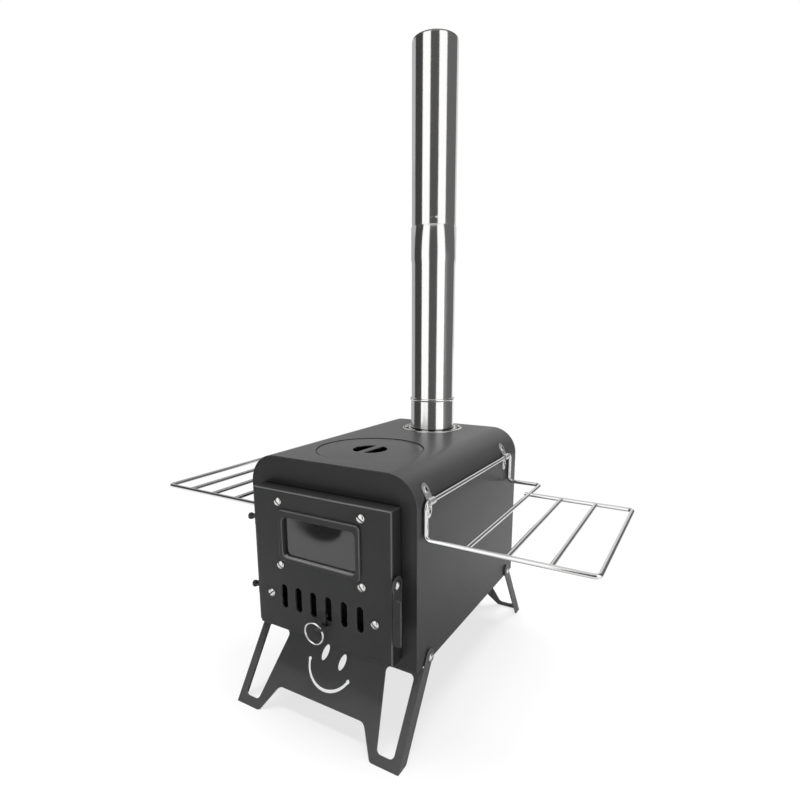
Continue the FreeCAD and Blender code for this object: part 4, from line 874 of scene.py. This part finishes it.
for name, side in (("right", 1), ("left", -1)):
    route = [
        (FIRST_X - WIRE_BEND, RAIL_Y, RACK_Z), (END_X, RAIL_Y, RACK_Z),
        (END_X, SHELF_FRONT, RACK_Z), (BAR_X, SHELF_FRONT, RACK_Z),
        (BAR_X, SHELF_FRONT, BAR_Z), (BAR_X, SHELF_REAR, BAR_Z),
        (BAR_X, SHELF_REAR, RACK_Z), (FIRST_X, SHELF_REAR, RACK_Z),
        (FIRST_X, SHELF_FRONT + WELD, RACK_Z)]
    route = [(side * x, y, z) for x, y, z in route]
    loop = grown(
        name + "_bent_shelf_wire", bent_wire, line_mesh("shelf_route", route),
        Wire_Radius=WIRE * MM, Bend_Radius=WIRE_BEND * MM)
    outward(loop.data, 50)
    settle(loop, name + "_shelf", "wire_chrome", name + "_shelf_loop")
    bars = grown(
        name + "_cross_wires", cross_wires, bpy.data.meshes.new("row"),
        Count=2, Pitch=(side * PITCH * MM, 0, 0),
        Start=(side * (FIRST_X + PITCH) * MM, (SHELF_FRONT + WELD) * MM, RACK_Z * MM),
        Length=(RAIL_Y - SHELF_FRONT - 2 * WELD) * MM, Wire_Radius=WIRE * MM)
    outward(bars.data, 50)
    settle(bars, name + "_shelf", "wire_chrome", name + "_shelf_crossbars")
    from_frame(name + "_saddle_clips", name + "_shelf_clips", satin_strip, edge_mm=0.35)

# Clip rivets
# Hollow steel rivets with a zinc plate hold each clip to the shell, two to a clip, one of them on
# the bend. Their rolled rims shine round the bore, which is painted dark as painted shade.
RIVET_BORE, CLIP_STRIP, EAR_STRIP, EAR = 1.84, 1.2, 1.24, math.radians(27)
# (radius, height): the hollow, the rolled rim, the shank and the spread tail.
rivet_outline = [
    (0, 0.25), (1.75, 0.25), (1.85, 0.9), (2.15, 1.15), (2.9, 1.2), (3.5, 1.0), (3.9, 0.5),
    (4.0, 0.1), (3.9, 0), (2.2, 0), (2.2, -2.4), (2.9, -2.55), (2.9, -3.8), (0, -3.8)]
rivet = lathed("hollow_rivet", rivet_outline, sides=32)
outward(rivet, 40)
# Painted shade: the hollow of the bore is painted dark.
mark_faces(rivet, "dirt", lambda at, way: at.z > 0 and math.hypot(at.x, at.y) < RIVET_BORE)
seat_x = BODY_HALF - CORNER + CORNER * math.cos(EAR)
seat_z = BODY_TOP - CORNER + CORNER * math.sin(EAR)
for name, side in (("right", 1), ("left", -1)):
    places = []
    for y in CLIP_Y:
        places.append(((side * (BODY_HALF + CLIP_STRIP), y, RIVET_Z), (side, 0, 0), 0))
        out = Vector((side * math.cos(EAR), 0, math.sin(EAR)))
        places.append((Vector((side * seat_x, y, seat_z)) + out * EAR_STRIP, tuple(out), 0))
    rivets = copies_of(name + "_hollow_rivets", rivet, places, zinc)
    settle(rivets, "firebox", "screw_steel", name + "_clip_rivets")

# Studio
# A pale floor that fades to white, and two broad soft lamps, overhead and to the right. Bright and
# dark cards stand round the stove, which only its polished metal and glass mirror, as bands.
FAR = 8
floor_mesh = bpy.data.meshes.new("studio_floor")
floor_mesh.from_pydata(
    [(-FAR, -FAR, 0), (FAR, -FAR, 0), (FAR, FAR, 0), (-FAR, FAR, 0)], [], [(0, 1, 2, 3)])
floor = bpy.data.objects.new("studio_floor", floor_mesh)
bpy.context.scene.collection.objects.link(floor)
floor_white, tree, place = blank("studio_floor_white")
far = add(tree, "ShaderNodeVectorMath", {"operation": "LENGTH"}, {0: place})
fade = add(tree, "ShaderNodeMapRange", {"interpolation_type": "SMOOTHSTEP"}, {
    "Value": far.outputs["Value"], "From Min": 0.3, "From Max": 1.1, "To Min": 0.74, "To Max": 1.0})
matt = add(tree, "ShaderNodeBsdfDiffuse", None, {"Color": linear("#f4f4f4")})
glow = add(tree, "ShaderNodeEmission", None, {"Color": (1, 1, 1, 1), "Strength": 1.0})
rays = add(tree, "ShaderNodeLightPath")
seen = add(tree, "ShaderNodeMath", {"operation": "MAXIMUM"}, {
    0: rays.outputs["Is Camera Ray"], 1: rays.outputs["Is Transmission Ray"]})
share = add(tree, "ShaderNodeMath", {"operation": "MULTIPLY"}, {
    0: seen.outputs[0], 1: fade.outputs[0]})
mixed = add(tree, "ShaderNodeMixShader", None, {
    0: share.outputs[0], 1: matt.outputs[0], 2: glow.outputs[0]})
# Mirrors see the floor dark under the stove and white further out.
mirrored = add(tree, "ShaderNodeMapRange", {"interpolation_type": "SMOOTHSTEP"}, {
    "Value": far.outputs["Value"], "From Min": 0.05, "From Max": 0.5,
    "To Min": 0.15, "To Max": 1.0})
sheen = add(tree, "ShaderNodeEmission", None, {
    "Color": (1, 1, 1, 1), "Strength": mirrored.outputs[0]})
mixed = add(tree, "ShaderNodeMixShader", None, {
    0: rays.outputs["Is Glossy Ray"], 1: mixed.outputs[0], 2: sheen.outputs[0]})
add(tree, "ShaderNodeOutputMaterial", None, {"Surface": mixed.outputs[0]})
floor_mesh.materials.append(floor_white)

# The white background shows at full strength; it lights matt surfaces and mirrors more weakly.
world = bpy.data.worlds.new("studio_white")
world.use_nodes = True
tree = world.node_tree
tree.nodes.clear()
rays = add(tree, "ShaderNodeLightPath")
seen = add(tree, "ShaderNodeMath", {"operation": "MAXIMUM"}, {
    0: rays.outputs["Is Camera Ray"], 1: rays.outputs["Is Transmission Ray"]})
mirrored = add(tree, "ShaderNodeMapRange", None, {
    "Value": rays.outputs["Is Glossy Ray"], "To Min": 0.12, "To Max": 0.78})
strength = add(tree, "ShaderNodeMath", {"operation": "MAXIMUM"}, {
    0: seen.outputs[0], 1: mirrored.outputs[0]})
sky = add(tree, "ShaderNodeBackground", None, {
    "Color": (1, 1, 1, 1), "Strength": strength.outputs[0]})
add(tree, "ShaderNodeOutputWorld", None, {"Surface": sky.outputs[0]})
bpy.context.scene.world = world


def soft_lamp(name, place, aim, width, height, watts, mirrored=True):
    """A broad lamp at a place, turned toward a point, in metres and watts."""
    light = bpy.data.lights.new(name, "AREA")
    light.shape = "RECTANGLE"
    light.size = width
    light.size_y = height
    light.energy = watts
    lamp = bpy.data.objects.new(name, light)
    lamp.location = place
    lamp.visible_glossy = mirrored
    lamp.rotation_euler = (Vector(aim) - Vector(place)).to_track_quat("-Z", "Y").to_euler()
    bpy.context.scene.collection.objects.link(lamp)


soft_lamp("lamp_right", (1.6, -0.15, 0.35), (0, 0, 0.15), width=1.0, height=0.5, watts=9.0)
soft_lamp(
    "lamp_top", (0.0, 0.0, 1.8), (0, 0, 0.25), width=1.3, height=0.8, watts=46, mirrored=False)


def mirror_only(card):
    """Hides a stage card from everything but mirrors."""
    bpy.context.scene.collection.objects.link(card)
    card.visible_camera = False
    card.visible_diffuse = False
    card.visible_shadow = False
    card.visible_transmission = False


def card_material(name, strength):
    """An even white glow."""
    material, tree, place = blank(name)
    shine = add(tree, "ShaderNodeEmission", None, {"Color": (1, 1, 1, 1), "Strength": strength})
    add(tree, "ShaderNodeOutputMaterial", None, {"Surface": shine.outputs[0]})
    return material


def curved_card(name, start_deg, end_deg, strength, distance=1.3, low=0.0, high=2.0, steps=12):
    """An upright card curved round the stove; degrees run from the door side toward the right."""
    points, faces = [], []
    for i in range(steps + 1):
        angle = math.radians(start_deg + (end_deg - start_deg) * i / steps)
        x, y = distance * math.sin(angle), -distance * math.cos(angle)
        points += [(x, y, low), (x, y, high)]
        if i:
            k = 2 * i
            faces.append((k - 2, k, k + 1, k - 1))
    mesh = bpy.data.meshes.new(name)
    mesh.from_pydata(points, [], faces)
    mesh.materials.append(card_material(name, strength))
    mirror_only(bpy.data.objects.new(name, mesh))


curved_card("card_back_left", -155, -91, 0.52, high=1.0)
curved_card("card_back_left_tall", -138, -91, 0.58, low=1.0, high=1.5)
curved_card("card_back_corner", -165, -138, 0.1, low=1.0, high=1.5)
curved_card("card_back_left_high", -165, -60, 0.1, low=1.5, high=2.6)
curved_card("card_left", -91, -38, 0.065)
curved_card("softbox_left", -38, 4, 1.35)
curved_card("card_behind_camera", 4, 50, 0.105)
curved_card("softbox_right", 50, 91, 1.35)
curved_card("card_right", 91, 163, 0.16)
# The glass mirrors a dark patch. Its outline is drawn on the window, in shares of the window's
# width and height, and carried to the floor along the mirrored line of sight.
EYE = Vector((347.5, -586.2, 437.6))
MIRROR_Y = -163.0
PATCH_MIDDLE, PATCH_RIGHT, PATCH_LEFT, PATCH_LIFT, PATCH_DEEP = 0.5, 0.35, 0.56, 0.08, 0.58
SOLID_RIGHT, SOLID_DROP, FADE_FROM, FADE_WIDTH = 0.93, 0.4, 0.1, 0.55
RINGS, TURNS, FLOOR_GAP = 8, 24, 2.0
WINDOW_HIGH = 2 * WINDOW_Z - WINDOW_LOW
mirror_eye = Vector((EYE.x, 2 * MIRROR_Y - EYE.y, EYE.z))
points, faces, shades = [], [], []
for ring in range(RINGS + 1):
    for turn in range(TURNS + 1):
        a, r = math.pi * turn / TURNS, ring / RINGS
        across = PATCH_MIDDLE + (PATCH_RIGHT if math.cos(a) > 0 else PATCH_LEFT) * r * math.cos(a)
        down = PATCH_DEEP * r * math.sin(a) - PATCH_LIFT
        seen_x = WINDOW_HALF * (2 * across - 1)
        seen_z = WINDOW_HIGH - 2 * (WINDOW_Z - WINDOW_LOW) * down
        seen = Vector((seen_x, MIRROR_Y, seen_z))
        reach = (EYE.z - FLOOR_GAP) / (EYE.z - seen.z)
        points.append((mirror_eye + (seen - mirror_eye) * reach) * MM)
        solid_to = SOLID_RIGHT - SOLID_DROP * turn / TURNS
        fading = min(1.0, (1 - r) / (1 - solid_to))
        shades.append(fading * min(1.0, max(0.0, (across + FADE_FROM) / FADE_WIDTH)))
        if ring and turn:
            k = ring * (TURNS + 1) + turn
            faces.append((k, k - 1, k - TURNS - 2, k - TURNS - 1))
patch_mesh = bpy.data.meshes.new("dark_patch")
patch_mesh.from_pydata(points, [], faces)
mark = patch_mesh.attributes.new("shade", "FLOAT", "POINT")
mark.data.foreach_set("value", shades)
dark_patch, tree, place = blank("dark_patch")
shade = add(tree, "ShaderNodeAttribute", {"attribute_name": "shade"})
soft = add(tree, "ShaderNodeMapRange", {"interpolation_type": "SMOOTHSTEP"}, {
    "Value": shade.outputs["Fac"], "To Min": 1.0, "To Max": 0.03})
shine = add(tree, "ShaderNodeEmission", None, {"Color": (1, 1, 1, 1), "Strength": soft.outputs[0]})
add(tree, "ShaderNodeOutputMaterial", None, {"Surface": shine.outputs[0]})
patch_mesh.materials.append(dark_patch)
mirror_only(bpy.data.objects.new("dark_patch", patch_mesh))

# The camera stands where the photograph's did, at the stove's front right and a little above it.
yaw, pitch, roll = math.radians(30.608), math.radians(11.659), math.radians(-0.256)
forward = Vector((
    -math.sin(yaw) * math.cos(pitch), math.cos(yaw) * math.cos(pitch), -math.sin(pitch)))
level = Vector((math.cos(yaw), math.sin(yaw), 0))
upright = level.cross(forward)
right = math.cos(roll) * level + math.sin(roll) * upright
upward = -math.sin(roll) * level + math.cos(roll) * upright
lens = bpy.data.cameras.new("photo_camera")
lens.sensor_width = 36
lens.lens = 24.312
lens.shift_x = 0.0034
lens.shift_y = 0.0505
camera = bpy.data.objects.new("photo_camera", lens)
pose = Matrix((right, upward, -forward)).transposed().to_4x4()
pose.translation = EYE * MM
camera.matrix_world = pose
bpy.context.scene.collection.objects.link(camera)
bpy.context.scene.camera = camera
bpy.context.scene.view_settings.view_transform = "Standard"
